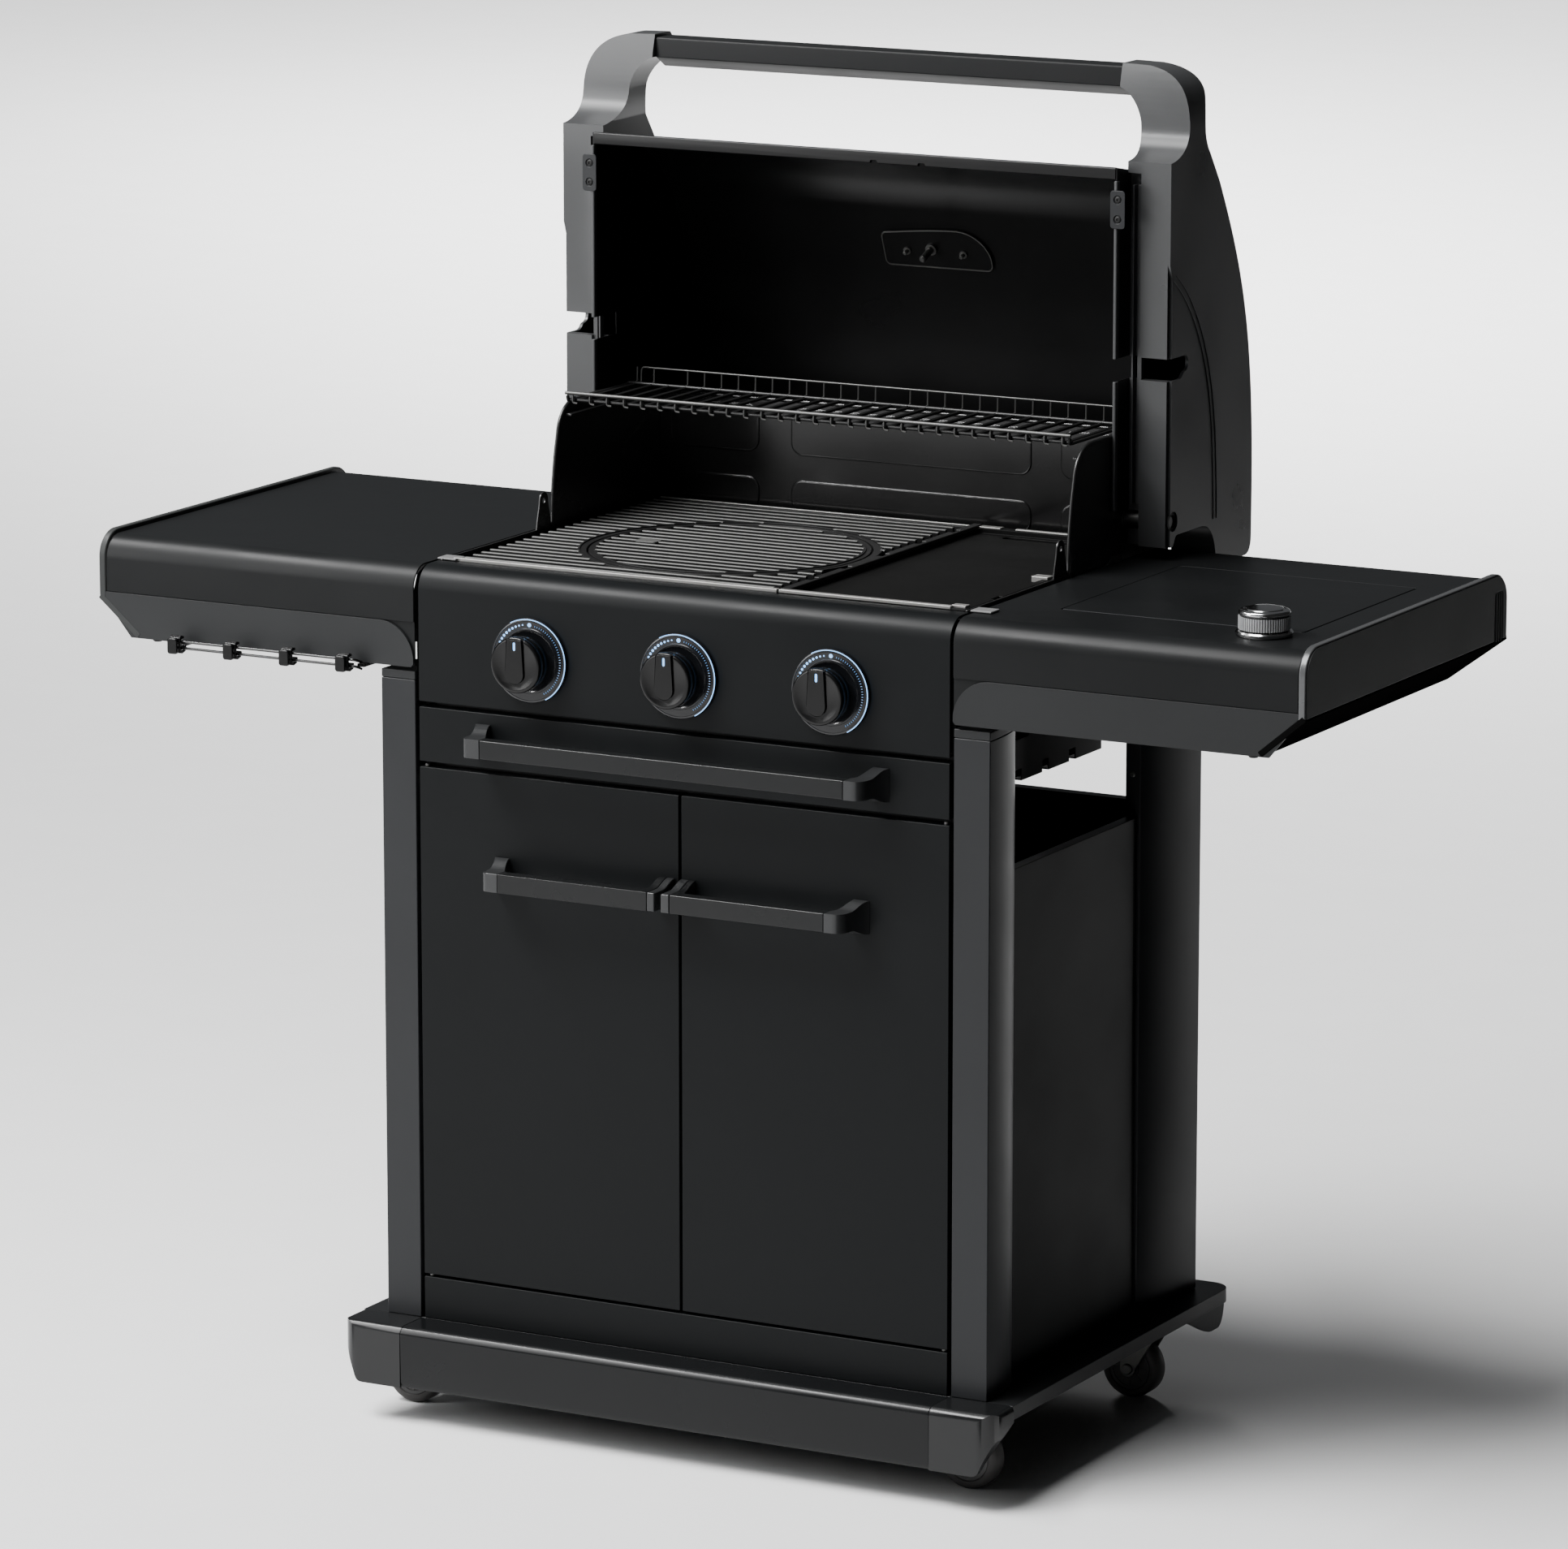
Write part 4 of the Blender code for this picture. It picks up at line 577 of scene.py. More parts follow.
def build_control_panel():
    x0, x1, _, y1, z0, _ = ext("control_panel")
    bm = prism(rolled(z0, 0.0, y1, None, lip=0.010), "x", x0, x1)
    holes = [rod(-0.01, 0.02, 0.0058, "y", knob_x(i), KNOB_Z, 24) for i in (1, 2, 3)]
    piece("control_panel_skin", carve(bm, *holes), PANEL, "cart", bevel=0.0009, angle=50,
          stands_for=["control_panel"])
    ends = [cuboid(x0 + s, x0 + s + 0.0015, 0.004, 0.038, z0 + 0.004, 0.850)
            for s in (0.0005, x1 - x0 - 0.0020)]
    piece("control_panel_ends", merge(*ends), PANEL, "cart")
    # Cross-rails behind the gaps round the drawer, as a cabinet has, made black so the gaps read dark:
    # painted shade.
    rails = [cuboid(-0.2960, 0.2960, 0.0196, 0.0215, 0.7060, 0.7420),
             cuboid(-0.2900, 0.2900, 0.0196, 0.0215, 0.6600, 0.6770)]
    rails += [cuboid(*span(side, 0.2900, 0.3018), 0.0200, 0.0216, 0.6620, 0.7420) for side in SIDES.values()]
    piece("drawer_gap_shade_rails", merge(*rails), RUBBER, "cart", bevel=0.0005)
    pads = [cuboid(-0.3000, -0.2785, 0.0415, 0.0600, 0.8752, 0.8774),
            cuboid(0.2985, 0.3215, 0.0400, 0.0585, 0.8752, 0.8774)]
    piece("hood_rest_pads", merge(*pads), PAD, "cart", bevel=0.001)


def build_plinth():
    x0, x1, y0, y1, z0, z1 = ext("plinth_panel")
    piece("plinth_skin", folded_pan(x0, x1, y0, y1, z0, z1), PANEL, "cart", bevel=0.0010,
          stands_for=["plinth_panel"])


POST_TUCK = 0.0105  # how far a post's hidden edge stands in from its outer face


def post_plans(end, inner, out, y0, y1):
    """Plans of a post's bent sheet and of its cap, for the right-hand side."""
    tucked = out - POST_TUCK
    if end == "front":
        face = trace((inner, 0.0), (out, 0.0), ((out, 0.034), (out - 0.003, 0.060), (tucked, y1), 14))
        return [(inner, 0.030)] + face, face + [(inner, y1)]
    root = tucked - 0.017
    face = trace((root, y0), (tucked, y0), ((out - 0.003, y0 + 0.024), (out, y0 + 0.066), (out, y1), 14))
    return face + [(inner, y1)], face + [(root, y1)]


def build_posts():
    for name, side in SIDES.items():
        inner, out = near_far("post_front_" + name)
        for end in ("front", "rear"):
            node = f"post_{end}_{name}"
            y0, y1, z0, z1 = ext(node)[2:]
            sheet, cap = post_plans(end, inner, out, y0, y1)
            seam = z1 - 0.0085
            skin = prism(mir(strip(sheet, 0.0025), side), "z", z0, seam - 0.0004)
            piece(node + "_skin", skin, CHARCOAL, "cart", bevel=0.0010, angle=40, stands_for=[node])
            piece(node + "_cap", prism(mir(cap, side), "z", seam, z1), MOULDED, "cart", bevel=0.0010)
        screws = [screw("y", -1, side * (out - POST_TUCK - 0.009), z, y0, 0.0028, 0.0012)
                  for z in (0.660, 0.742)]
        screws += [screw("y", 1, side * (out - 0.020), z, y1, 0.0035, 0.0016) for z in (0.16, 0.40, 0.70)]
        piece(node + "_screws", merge(*screws), ZINC, "cart")


def build_cabinet_sheets():
    for name, side in SIDES.items():
        node = "side_panel_" + name
        x0, x1, y0, y1, z0, z1 = ext(node)
        plane = max(abs(x0), abs(x1))
        line = [(plane - 0.012, z1 - 0.009), (plane - 0.012, z1), (plane, z1), (plane, z0)]
        sheet = prism(mir(strip(line, -0.0015), side), "y", y0, y1)
        piece(node + "_skin", sheet, SIDE, "cart", bevel=0.0008, angle=50, stands_for=[node])
    x0, x1, y0, y1, z0, z1 = ext("rear_panel")
    line = [(y0, z1 - 0.008), (y0, z1), (y1, z1), (y1, z0)]
    sheet = prism(strip(line, -0.0015), "x", x0, x1)
    vents = []
    for row in range(5):
        for column in (-1, 1):
            x = column * 0.150
            z = 0.190 + row * 0.014
            vents.append(prism(round_rect(x - 0.035, x + 0.035, z - 0.0025, z + 0.0025, 0.0024), "y", 0.44,
                               0.50))
    piece("rear_panel_skin", carve(sheet, *vents), PANEL, "cart", bevel=0.0006, angle=50,
          stands_for=["rear_panel"])
    frame_line = [(x * 0.245, y1 + 0.0004, z) for x, z in ((-1, 0.30), (-1, 0.56), (1, 0.56), (1, 0.30))]
    path = fillet(frame_line + [frame_line[0]], 0.02, 6)
    piece("rear_panel_bead", tube(path, 0.0016, 8), PANEL, "cart", smooth=80)


# ------------------------------------------------------------------ base and casters
def build_base():
    half, _, back, _, top = ext("base_tray")[1:]
    low = top - 0.0147
    r = 0.022
    plan = [(-half, 0.0003), (half, 0.0003)]
    plan += arc(half - r, back - r, r, 0, 90) + arc(-half + r, back - r, r, 90, 180)
    inside = rect(-half + 0.003, half - 0.003, 0.003, back - 0.003)
    tray = carve(prism(plan, "z", low, top), prism(inside, "z", low - 0.01, top - 0.003))
    piece("base_tray_top", tray, BASE_TOP, "cart", bevel=0.0050, segments=4, stands_for=["base_tray"])
    skirt = trace((0.392, low + 0.001), ((0.418, 0.080), (0.444, 0.062), (0.462, 0.0605), 10),
                  (0.478, 0.0605),
                  ((0.487, 0.0625), (0.491, 0.074), (0.4925, low + 0.001), 8), (0.4925, low + 0.004),
                  (0.392, low + 0.004))
    skirts = [prism(skirt, "x", *span(side, half - 0.0085, half - 0.0045)) for side in SIDES.values()]
    tail = trace((0.480, 0.0612), ((0.489, 0.0625), (0.4945, 0.074), (0.4965, low + 0.002), 8))
    skirts.append(prism(strip(tail, 0.003), "x", -half + 0.0088, half - 0.0088))
    piece("base_skirts", merge(*skirts), BASE_TOP, "cart", bevel=0.0008)
    build_base_front()


def base_corner(node, side):
    """A moulded corner: its front view, side view and plan cut into one another, then hollowed."""
    y0, y1, z0, z1 = ext(node)[2:]
    seam, out = near_far(node)
    out += 0.0015
    foot = out - 0.0215
    shin = foot + 0.0075
    front = trace((seam, z0), (foot - 0.004, z0),
                  ((foot + 0.004, z0), (foot + 0.0045, z0 + 0.005), (shin, 0.0500), 8),
                  ((out - 0.005, 0.070), (out, 0.076), (out, 0.087), 12),
                  *arc(out - 0.0060, z1 - 0.0060, 0.0060, 0, 90),
                  (seam, z1))
    profile = [(y1 + 0.001, z1)] + arc(y0 + 0.0085, z1 - 0.0085, 0.0085, 90, 180, 12)
    profile += [(y0, z0 - 0.001), (y1 + 0.001, z0 - 0.001)]
    r = 0.021
    plan = [(seam - 0.01, 0.01), (seam - 0.01, y0)] + arc(out - r, y0 + r, r, -90, 0, 20) + [(out, 0.01)]
    block = prism(mir(front, side), "y", y0, y1)
    for tool in (prism(profile, "x", *span(side, seam - 0.01, out + 0.01)),
                 prism(mir(plan, side), "z", 0.0, 0.2)):
        block = carve(block, tool, operation="INTERSECT")
    hollow = [(seam - 0.01, 0.02), (seam - 0.01, y0 + 0.003)]
    hollow += arc(out - r - 0.011, y0 + r, r - 0.003, -90, 0) + [(out - 0.014, 0.02)]
    under = trace((y0 + 0.0050, 0.0), (y0 + 0.0050, z0 - 0.001),
                  ((y0 + 0.013, 0.058), (-0.018, 0.079), (0.002, 0.0855), 8),
                  (0.002, 0.0))
    return carve(block, prism(mir(hollow, side), "z", 0.0, z1 - 0.003),
                 prism(under, "x", *span(side, seam - 0.02, out + 0.01)))


def build_base_front():
    x0, x1, y0, _, z0, z1 = ext("base_fascia")
    line = [(-0.0005, z1)] + arc(y0 + 0.0085, z1 - 0.0085, 0.0085, 90, 180, 14)
    line += [(y0 + 0.0006, z0 + 0.006), (y0 + 0.003, z0)]
    piece("base_fascia_skin", prism(strip(line, 0.003), "x", x0, x1), FASCIA, "cart", bevel=0.0008, angle=45,
          stands_for=["base_fascia"])
    for name, side in SIDES.items():
        node = "base_corner_front_" + name
        piece(node + "_skin", base_corner(node, side), CORNER, "cart", bevel=0.0012, segments=3, angle=40,
              stands_for=[node])


def build_casters():
    for place_name in ("front", "rear"):
        for side_name in SIDES:
            name = f"{place_name}_{side_name}"
            wheel = "caster_wheel_" + name
            x0, x1, y0, y1, z0, z1 = ext(wheel)
            ax, az, ay = (x0 + x1) / 2, (z0 + z1) / 2, (y0 + y1) / 2
            half, rim = (y1 - y0) / 2, (x1 - x0) / 2
            tyre = [(-half + 0.002, rim - 0.0095), (-half, rim - 0.0080), (-half, rim - 0.0045),
                    (-half + 0.0012, rim - 0.0018),
                    (-half + 0.0042, rim)]
            tyre += [(-d, r) for d, r in reversed(tyre)]
            bm = lathe([(ay + d, r) for d, r in tyre], "y", ax, az, 64)
            piece(wheel + "_tyre", bm, TYRE, "wheel_" + name, smooth=40, stands_for=[wheel])
            hub = []
            for out in (-1, 1):
                face = ay + out * (half - 0.0026)
                hub.append(ring(rim - 0.0092, rim - 0.0125, "y", ax, az, face, face + out * 0.0016))
                hub.append(ring(0.0105, 0.0045, "y", ax, az, face - out * 0.001, face + out * 0.0030))
                for k in range(8):
                    rib = cuboid(ax + 0.0095, ax + rim - 0.0120, min(face, face + out * 0.0012),
                                 max(face, face + out * 0.0012),
                                 az - 0.0011, az + 0.0011)
                    hub.append(turn(rib, 45 * k, "Y", (ax, ay, az)))
            piece(wheel + "_hub", merge(*hub), HUB, "wheel_" + name, smooth=30)
            build_fork(name, ax, ay, az, half)


def build_fork(name, ax, ay, az, half):
    node = "caster_fork_" + name
    z1 = ext(node)[5]
    sx = ax + 0.012
    cheek = half + 0.0015
    sheet = 0.0025
    outline = arc(ax, az, 0.0085, 180, 360, 10) + [(sx + 0.016, 0.064)]
    outline += arc(sx + 0.012, 0.0665, 0.004, 0, 90, 4)
    outline += arc(sx - 0.014, 0.0665, 0.004, 90, 180, 4)
    parts = []
    for out in (-1, 1):
        near, far = sorted((ay + out * cheek, ay + out * (cheek + sheet)))
        parts.append(prism(outline, "y", near, far))
    parts.append(cuboid(sx - 0.018, sx + 0.016, ay - cheek - sheet, ay + cheek + sheet, 0.0672, 0.0703))
    parts.append(cuboid(sx - 0.022, sx + 0.022, ay - 0.018, ay + 0.018, z1 - 0.0028, z1))
    piece(node + "_plates", merge(*parts), ZINC, "fork_" + name, bevel=0.0007, stands_for=[node])
    race = [(0.0703, 0.0125), (0.0725, 0.0145), (0.0790, 0.0150), (0.0815, 0.0135), (0.0830, 0.0160),
            (z1 - 0.003, 0.0165)]
    turned = [lathe(race, "z", sx, ay, 40)]
    for out in (-1, 1):
        at = ay + out * (cheek + sheet)
        turned.append(lathe([(at, 0.0058), (at + out * 0.0022, 0.0058), (at + out * 0.0032, 0.0045)], "y", ax,
                            az, 24))
    turned.append(rod(ay - cheek, ay + cheek, 0.0038, "y", ax, az, 20))
    piece(node + "_race", merge(*turned), ZINC, "fork_" + name, smooth=30)


# ------------------------------------------------------------------ knobs
KNOB_Z = middle("knob_2", 2)


def knob_x(number):
    return middle(f"knob_bezel_{number}", 0)


def on_dial(x, radius, clock):
    """Where a clockwise angle from twelve lands on a dial, seen from the front."""
    t = math.radians(clock)
    return x + radius * math.sin(t), KNOB_Z + radius * math.cos(t)


def build_knobs():
    for number in (1, 2, 3):
        x = knob_x(number)
        bezel = [(-0.0003, 0.0427), (-0.0028, 0.0427), (-0.0042, 0.0418), (-0.0046, 0.0408),
                 (-0.0046, 0.0400), (-0.0040, 0.0396),
                 (-0.0040, 0.0330), (-0.0046, 0.0325), (-0.0046, 0.0312), (-0.0030, 0.0300),
                 (-0.0022, 0.0285), (-0.0022, 0.0130)]
        piece(f"bezel_{number}_ring", lathe(bezel, "y", x, KNOB_Z, 96), BEZEL, "cart", smooth=30,
              stands_for=[f"knob_bezel_{number}"])
        face = -0.0040
        dots = []
        for i in range(11):
            size = 0.00055 + 0.00085 * math.sin(math.pi * (i + 1.5) / 13) ** 1.2
            px, pz = on_dial(x, 0.0363, -76 + i * 6.6)
            dots.append(lathe([(face, size), (face - 0.0004, size * 0.9)], "y", px, pz, 14))
        px, pz = on_dial(x, 0.0363, 2)
        dots.append(lathe([(face, 0.0021), (face - 0.0005, 0.0019)], "y", px, pz, 20))
        dots.append(ring(0.0423, 0.0415, "y", x, KNOB_Z, -0.0046, -0.0051, -62, 118, 60))
        piece(f"bezel_{number}_lights", merge(*dots), LED, "cart", smooth=30)
        ticks = []
        for i in range(34):
            clock = 12 + i * 4.2
            near, far = on_dial(x, 0.0352, clock), on_dial(x, 0.0368, clock)
            ticks.append(tube([(near[0], face - 0.0001, near[1]), (far[0], face - 0.0001, far[1])], 0.00030,
                              6))
        piece(f"bezel_{number}_ticks", merge(*ticks), LED_SOFT, "cart", smooth=30)
        band = ring(0.0396, 0.0384, "y", x, KNOB_Z, face, face - 0.0003, -60, 90, 48)
        piece(f"bezel_{number}_band", band, BEZEL_BAND, "cart", smooth=30)
        build_knob(number, x)


def build_knob(number, x):
    node = f"knob_{number}"
    face = ext(node)[2] + 0.0025
    r = 0.028
    profile = [(face + 0.0004, r - 0.0040), (face, r - 0.0030), (face + 0.0004, r - 0.0010),
               (face + 0.0016, r), (face + 0.0090, r),
               (face + 0.0100, r - 0.0008), (face + 0.0108, r - 0.0026), (face + 0.0122, r - 0.0034),
               (face + 0.0132, r - 0.0020),
               (face + 0.0145, r - 0.0014), (face + 0.0205, r - 0.0014), (face + 0.0218, r - 0.0030),
               (face + 0.0225, r - 0.0050)]
    knob = lathe(profile, "y", x, KNOB_Z, 96)
    half = 0.0104
    trough = arc(x, KNOB_Z - 0.0078, half + 0.0010, 180, 360, 24)
    trough += [(x + half - 0.0006, KNOB_Z + r - 0.0016), (x - half + 0.0006, KNOB_Z + r - 0.0016)]
    knob = carve(knob, prism(trough, "y", face - 0.002, face + 0.0018))
    piece(node + "_body", knob, KNOB, node, bevel=0.0004, angle=40, stands_for=[node])
    grip = arc(x, KNOB_Z - 0.0078, half, 180, 360, 24)
    grip += [(x + half - 0.0022, KNOB_Z + r - 0.0020), (x - half + 0.0022, KNOB_Z + r - 0.0020)]
    slot = round_rect(x - 0.0014, x + 0.0014, KNOB_Z + 0.0150, KNOB_Z + 0.0235, 0.0013)
    grip = carve(prism(grip, "y", face - 0.0016, face + 0.0020),
                 prism(slot, "y", face - 0.004, face - 0.0006))
    piece(node + "_grip", grip, KNOB, node, bevel=0.0009, segments=4, angle=40)
    lamp = round_rect(x - 0.0012, x + 0.0012, KNOB_Z + 0.0152, KNOB_Z + 0.0233, 0.0011)
    piece(node + "_pointer", prism(lamp, "y", face - 0.0011, face - 0.0002), LED, node, smooth=30)


# ------------------------------------------------------------------ firebox and what it holds
def build_firebox():
    front, back, _, top = ext("firebox")[2:]
    half, wall = 0.2955, 0.0025
    front = min(front, 0.0405)
    rim, shoulder = 0.8765, 0.800
    r = 0.036
    for name, side in SIDES.items():
        outline = [(front, shoulder), (back, shoulder), (back, top - 0.004), (back - 0.004, top)]
        outline += arc(0.2609 + 0.012 + r, top - r, r, 90, 172, 12)
        outline += bez((0.2705, 0.960), (0.2655, 0.935), (0.2612, 0.910), (0.2609, rim + 0.004), 8)[1:]
        outline += [(0.2575, rim), (front, rim)]
        piece(f"firebox_wall_{name}", prism(outline, "x", *span(side, half - wall, half)), ENAMEL, "cart",
              bevel=0.0008,
              stands_for=["firebox"] if side < 0 else ())
        hem = [(back - 0.006, top)] + outline[4:-1]
        path = [(side * (half - wall / 2), a, b) for a, b in hem]
        piece(f"firebox_hem_{name}", tube(path, 0.0021, 10), ENAMEL, "cart", smooth=80)
        build_side_fittings(name, side, half)
    walls = [cuboid(-half + wall, half - wall, front, front + wall, shoulder, 0.8665),
             cuboid(-half + wall, half - wall, back - wall, back, shoulder, 0.985)]
    piece("firebox_ends", merge(*walls), REAR_WALL, "cart", bevel=0.0008)
    top_roll = tube([(-half + 0.004, back - 0.001, 0.9850), (half - 0.004, back - 0.001, 0.9850)], 0.0022, 10)
    piece("firebox_back_roll", top_roll, REAR_WALL, "cart", smooth=80)
    build_hopper(half, front, back, shoulder)
    build_embossing(half, back - wall)
    ledges = [cuboid(-half + wall, half - wall, front + wall, 0.0560, 0.8630, 0.8664),
              cuboid(-half + wall, half - wall, 0.4620, back - wall, 0.8630, 0.8664)]
    for side in SIDES.values():
        reach = span(side, half - 0.010, half - wall)
        ledges.append(cuboid(*reach, 0.286, 0.413, 0.9860, 0.9885))
    piece("firebox_ledges", merge(*ledges), ENAMEL, "cart", bevel=0.0006)


def build_hopper(half, front, back, shoulder):
    low = 0.722
    fx, fy = 0.0855, 0.078
    wall = 0.0025
    outer = hopper((-half, half), (front, back), shoulder, (-half + fx, half - fx), (front + fy, back - fy),
                   low)
    inner = hopper((-half + wall, half - wall), (front + wall, back - wall), shoulder + 0.0005,
                   (-half + fx + wall, half - fx - wall), (front + fy + wall, back - fy - wall), low + wall)
    lift = cuboid(-half + wall, half - wall, front + wall, back - wall, shoulder + 0.0002, shoulder + 0.05)
    drain = rod(low - 0.01, low + 0.01, 0.030, "z", 0.0, 0.263, 40)
    holes = [rod(front - 0.02, 0.09, 0.013, "y", knob_x(i), KNOB_Z, 24) for i in (1, 2, 3)]
    tub = carve(outer, inner, lift, drain, *holes)
    piece("firebox_hopper", tub, ENAMEL, "cart", bevel=0.0020, angle=20)
    piece("firebox_drain", ring(0.0345, 0.0295, "z", 0.0, 0.263, low - 0.004, low + 0.001), ENAMEL, "cart",
          bevel=0.001)


def hopper(top_x, top_y, top_z, low_x, low_y, low_z):
    bm = bmesh.new()
    low = [bm.verts.new((a, b, low_z)) for a, b in rect(*low_x, *low_y)]
    high = [bm.verts.new((a, b, top_z)) for a, b in rect(*top_x, *top_y)]
    bm.faces.new(low)
    bm.faces.new(high)
    skin_between(bm, low, high)
    return bm


def build_embossing(half, back):
    """Pressed panels in the back wall, drawn by their rolled outlines."""
    beads = []
    y = back - 0.0002
    fields = [(-0.1360, 0.1400, 0.930, 0.978), (-0.1360, 0.1400, 0.870, 0.902)]
    for side in SIDES.values():
        fields += [(*span(side, 0.176, 0.279), 0.930, 0.978), (*span(side, 0.176, 0.279), 0.870, 0.902)]
    plates = []
    for a0, a1, b0, b1 in fields:
        outline = round_rect(a0, a1, b0, b1, 0.012, 6)
        beads.append(tube([(a, y, b) for a, b in outline], 0.0012, 8, closed=True))
        plates.append(prism(round_rect(a0, a1, b0, b1, 0.012, 6), "y", y - 0.0012, y + 0.001))
    piece("firebox_back_beads", merge(*beads), REAR_WALL, "cart", smooth=80)
    piece("firebox_back_fields", merge(*plates), REAR_WALL, "cart", bevel=0.0008)


def build_side_fittings(name, side, half):
    tab = trace((0.226, 0.862), (0.260, 0.862), ((0.258, 0.885), (0.2525, 0.896), (0.2512, 0.9035), 5))
    tab += arc(0.243, 0.9052, 0.0083, 0, 180, 12)[1:]
    tab += bez((0.2348, 0.9035), (0.2335, 0.896), (0.228, 0.885), (0.226, 0.862), 5)[1:-1]
    plate = carve(prism(tab, "x", *span(side, half - 0.0023, half - 0.0005)),
                  rod(-0.4, 0.4, 0.0030, "x", 0.243, 0.9048, 20))
    piece(f"spit_tab_{name}", plate, ENAMEL, "cart", bevel=0.0005)
    heads = [screw("x", side, 0.235, 0.868, side * (half + 0.0018), 0.0026, 0.0012),
             screw("x", side, 0.251, 0.868, side * (half + 0.0018), 0.0026, 0.0012)]
    pin = [(side * half, 0.0095), (side * (half + 0.0012), 0.0095), (side * (half + 0.0012), 0.0060),
           (side * 0.3440, 0.0060),
           (side * 0.3448, 0.0052)]
    piece(f"hood_pin_{name}", merge(lathe(pin, "x", 0.3873, 0.9133, 32), *heads), ZINC, "cart", smooth=30)
    lugs = [cuboid(*span(side, 0.262, 0.3250), a, b, 0.7685, 0.7717) for a,
            b in ((0.052, 0.090), (0.405, 0.440))]
    piece(f"firebox_lugs_{name}", merge(*lugs), ENAMEL, "cart", bevel=0.0006)
    runner = [(0.2640, 0.6800), (0.2640, 0.6778), (0.2752, 0.6778), (0.2752, 0.7050), (0.2752, 0.7825)]
    sheet = prism(mir(strip(runner, 0.0015), side), "y", 0.080, 0.378)
    windows = [prism(round_rect(a, a + 0.042, 0.720, 0.752, 0.006), "x", -0.3, 0.3)
               for a in (0.110, 0.175, 0.240, 0.305)]
    notches = [cuboid(-0.3, 0.3, a, a + 0.014, 0.660, 0.690) for a in (0.125, 0.185, 0.245, 0.305)]
    piece(f"tray_runner_{name}", carve(sheet, *windows, *notches), RUNNER, "cart", bevel=0.0005, angle=50)


def grate_bar(y, low, high, x0, x1):
    """A bar that narrows downwards, and its crown in a lighter grey: a painted highlight on its top."""
    body = prism([(y - 0.0011, low), (y + 0.0011, low), (y + 0.0023, high - 0.0010),
                  (y - 0.0023, high - 0.0010)], "x", x0, x1)
    crown = prism([(y - 0.0023, high - 0.00095), (y + 0.0023, high - 0.00095), (y + 0.0019, high - 0.0002),
                   (y + 0.0010, high),
                   (y - 0.0010, high), (y - 0.0019, high - 0.0002)], "x", x0, x1)
    return body, crown


def build_grates():
    x0, x1, y0, y1, z0, z1 = ext("grate_main")
    cx, cy = middle("grate_insert", 0), middle("grate_insert", 1)
    hole = 0.1437
    rim = 0.0065
    bodies = [cuboid(x0, x1, y0, y0 + rim, z0, z1 - 0.0015), cuboid(x0, x1, y1 - rim, y1, z0, z1 - 0.0015),
              cuboid(x0, x0 + rim, y0 + rim, y1 - rim, z0, z1 - 0.0030),
              cuboid(x1 - rim, x1, y0 + rim, y1 - rim, z0, z1 - 0.0030)]
    # Lighter metal strips along the rim's top edges: painted highlight.
    piece("grate_main_edges", merge(cuboid(x0, x1, y0, y0 + rim, z1 - 0.00145, z1 + 0.0020),
                                    cuboid(x0, x1, y1 - 0.003, y1, z1 - 0.00145, z1)), EDGE_HIGHLIGHT, "grate",
                                    bevel=0.0006)
    crowns = []
    count = 25
    pitch = (y1 - y0 - rim) / count
    for i in range(1, count):
        y = y0 + rim / 2 + i * pitch
        spans = [(x0 + 0.002, x1 - 0.013)]
        reach = hole + 0.0085
        if abs(y - cy) < reach:
            cut_x = math.sqrt(reach ** 2 - (y - cy) ** 2)
            spans = [(x0 + 0.002, cx - cut_x), (cx + cut_x, x1 - 0.013)]
        for low, high in spans:
            if high - low > 0.004:
                body, crown = grate_bar(y, z0 + 0.001, z1, low, high)
                bodies.append(body)
                crowns.append(crown)
    for x in (-0.225, -0.135, 0.004):
        bodies.append(carve(cuboid(x - 0.0035, x + 0.0035, y0 + rim, y1 - rim, z0, z1 - 0.0042),
                            rod(z0 - 0.01, z1 + 0.01, hole + 0.002, "z", cx, cy, 64)))
    # The crowns' lighter grey is a painted highlight on the bars' tops.
    piece("grate_main_crowns", merge(*crowns), IRON_HIGHLIGHT, "grate", bevel=0.0004, segments=2, angle=60,
          stands_for=["grate_main"])
    # The studs' lighter metal is a painted highlight.
    studs = [lathe([(z1 - 0.004, 0.0021), (z1 - 0.0012, 0.0020), (z1 - 0.0002, 0.0012)], "z", x0 + 0.0036, y0
                   + rim / 2 + i * pitch, 12)
             for i in range(11, count)]
    piece("grate_main_studs", merge(*studs), EDGE_HIGHLIGHT, "grate", smooth=40)
    collar = lathe_ring(cx, cy, hole + 0.0100, hole + 0.0010, z0, z1 - 0.0016)
    ridge = lathe_ring(cx, cy, hole + 0.0100, hole + 0.0076, z1 - 0.0016, z1 - 0.0004)
    seat = lathe_ring(cx, cy, hole + 0.002, hole - 0.006, z0, z0 + 0.003)
    piece("grate_main_bodies", merge(*bodies, collar, ridge, seat), DARK_IRON, "grate", bevel=0.0004,
          segments=2, angle=50)
    build_insert(cx, cy, pitch, y0 + rim / 2)


def lathe_ring(cx, cy, outer, inner, low, high):
    return ring(outer, inner, "z", cx, cy, low, high, sides=96)


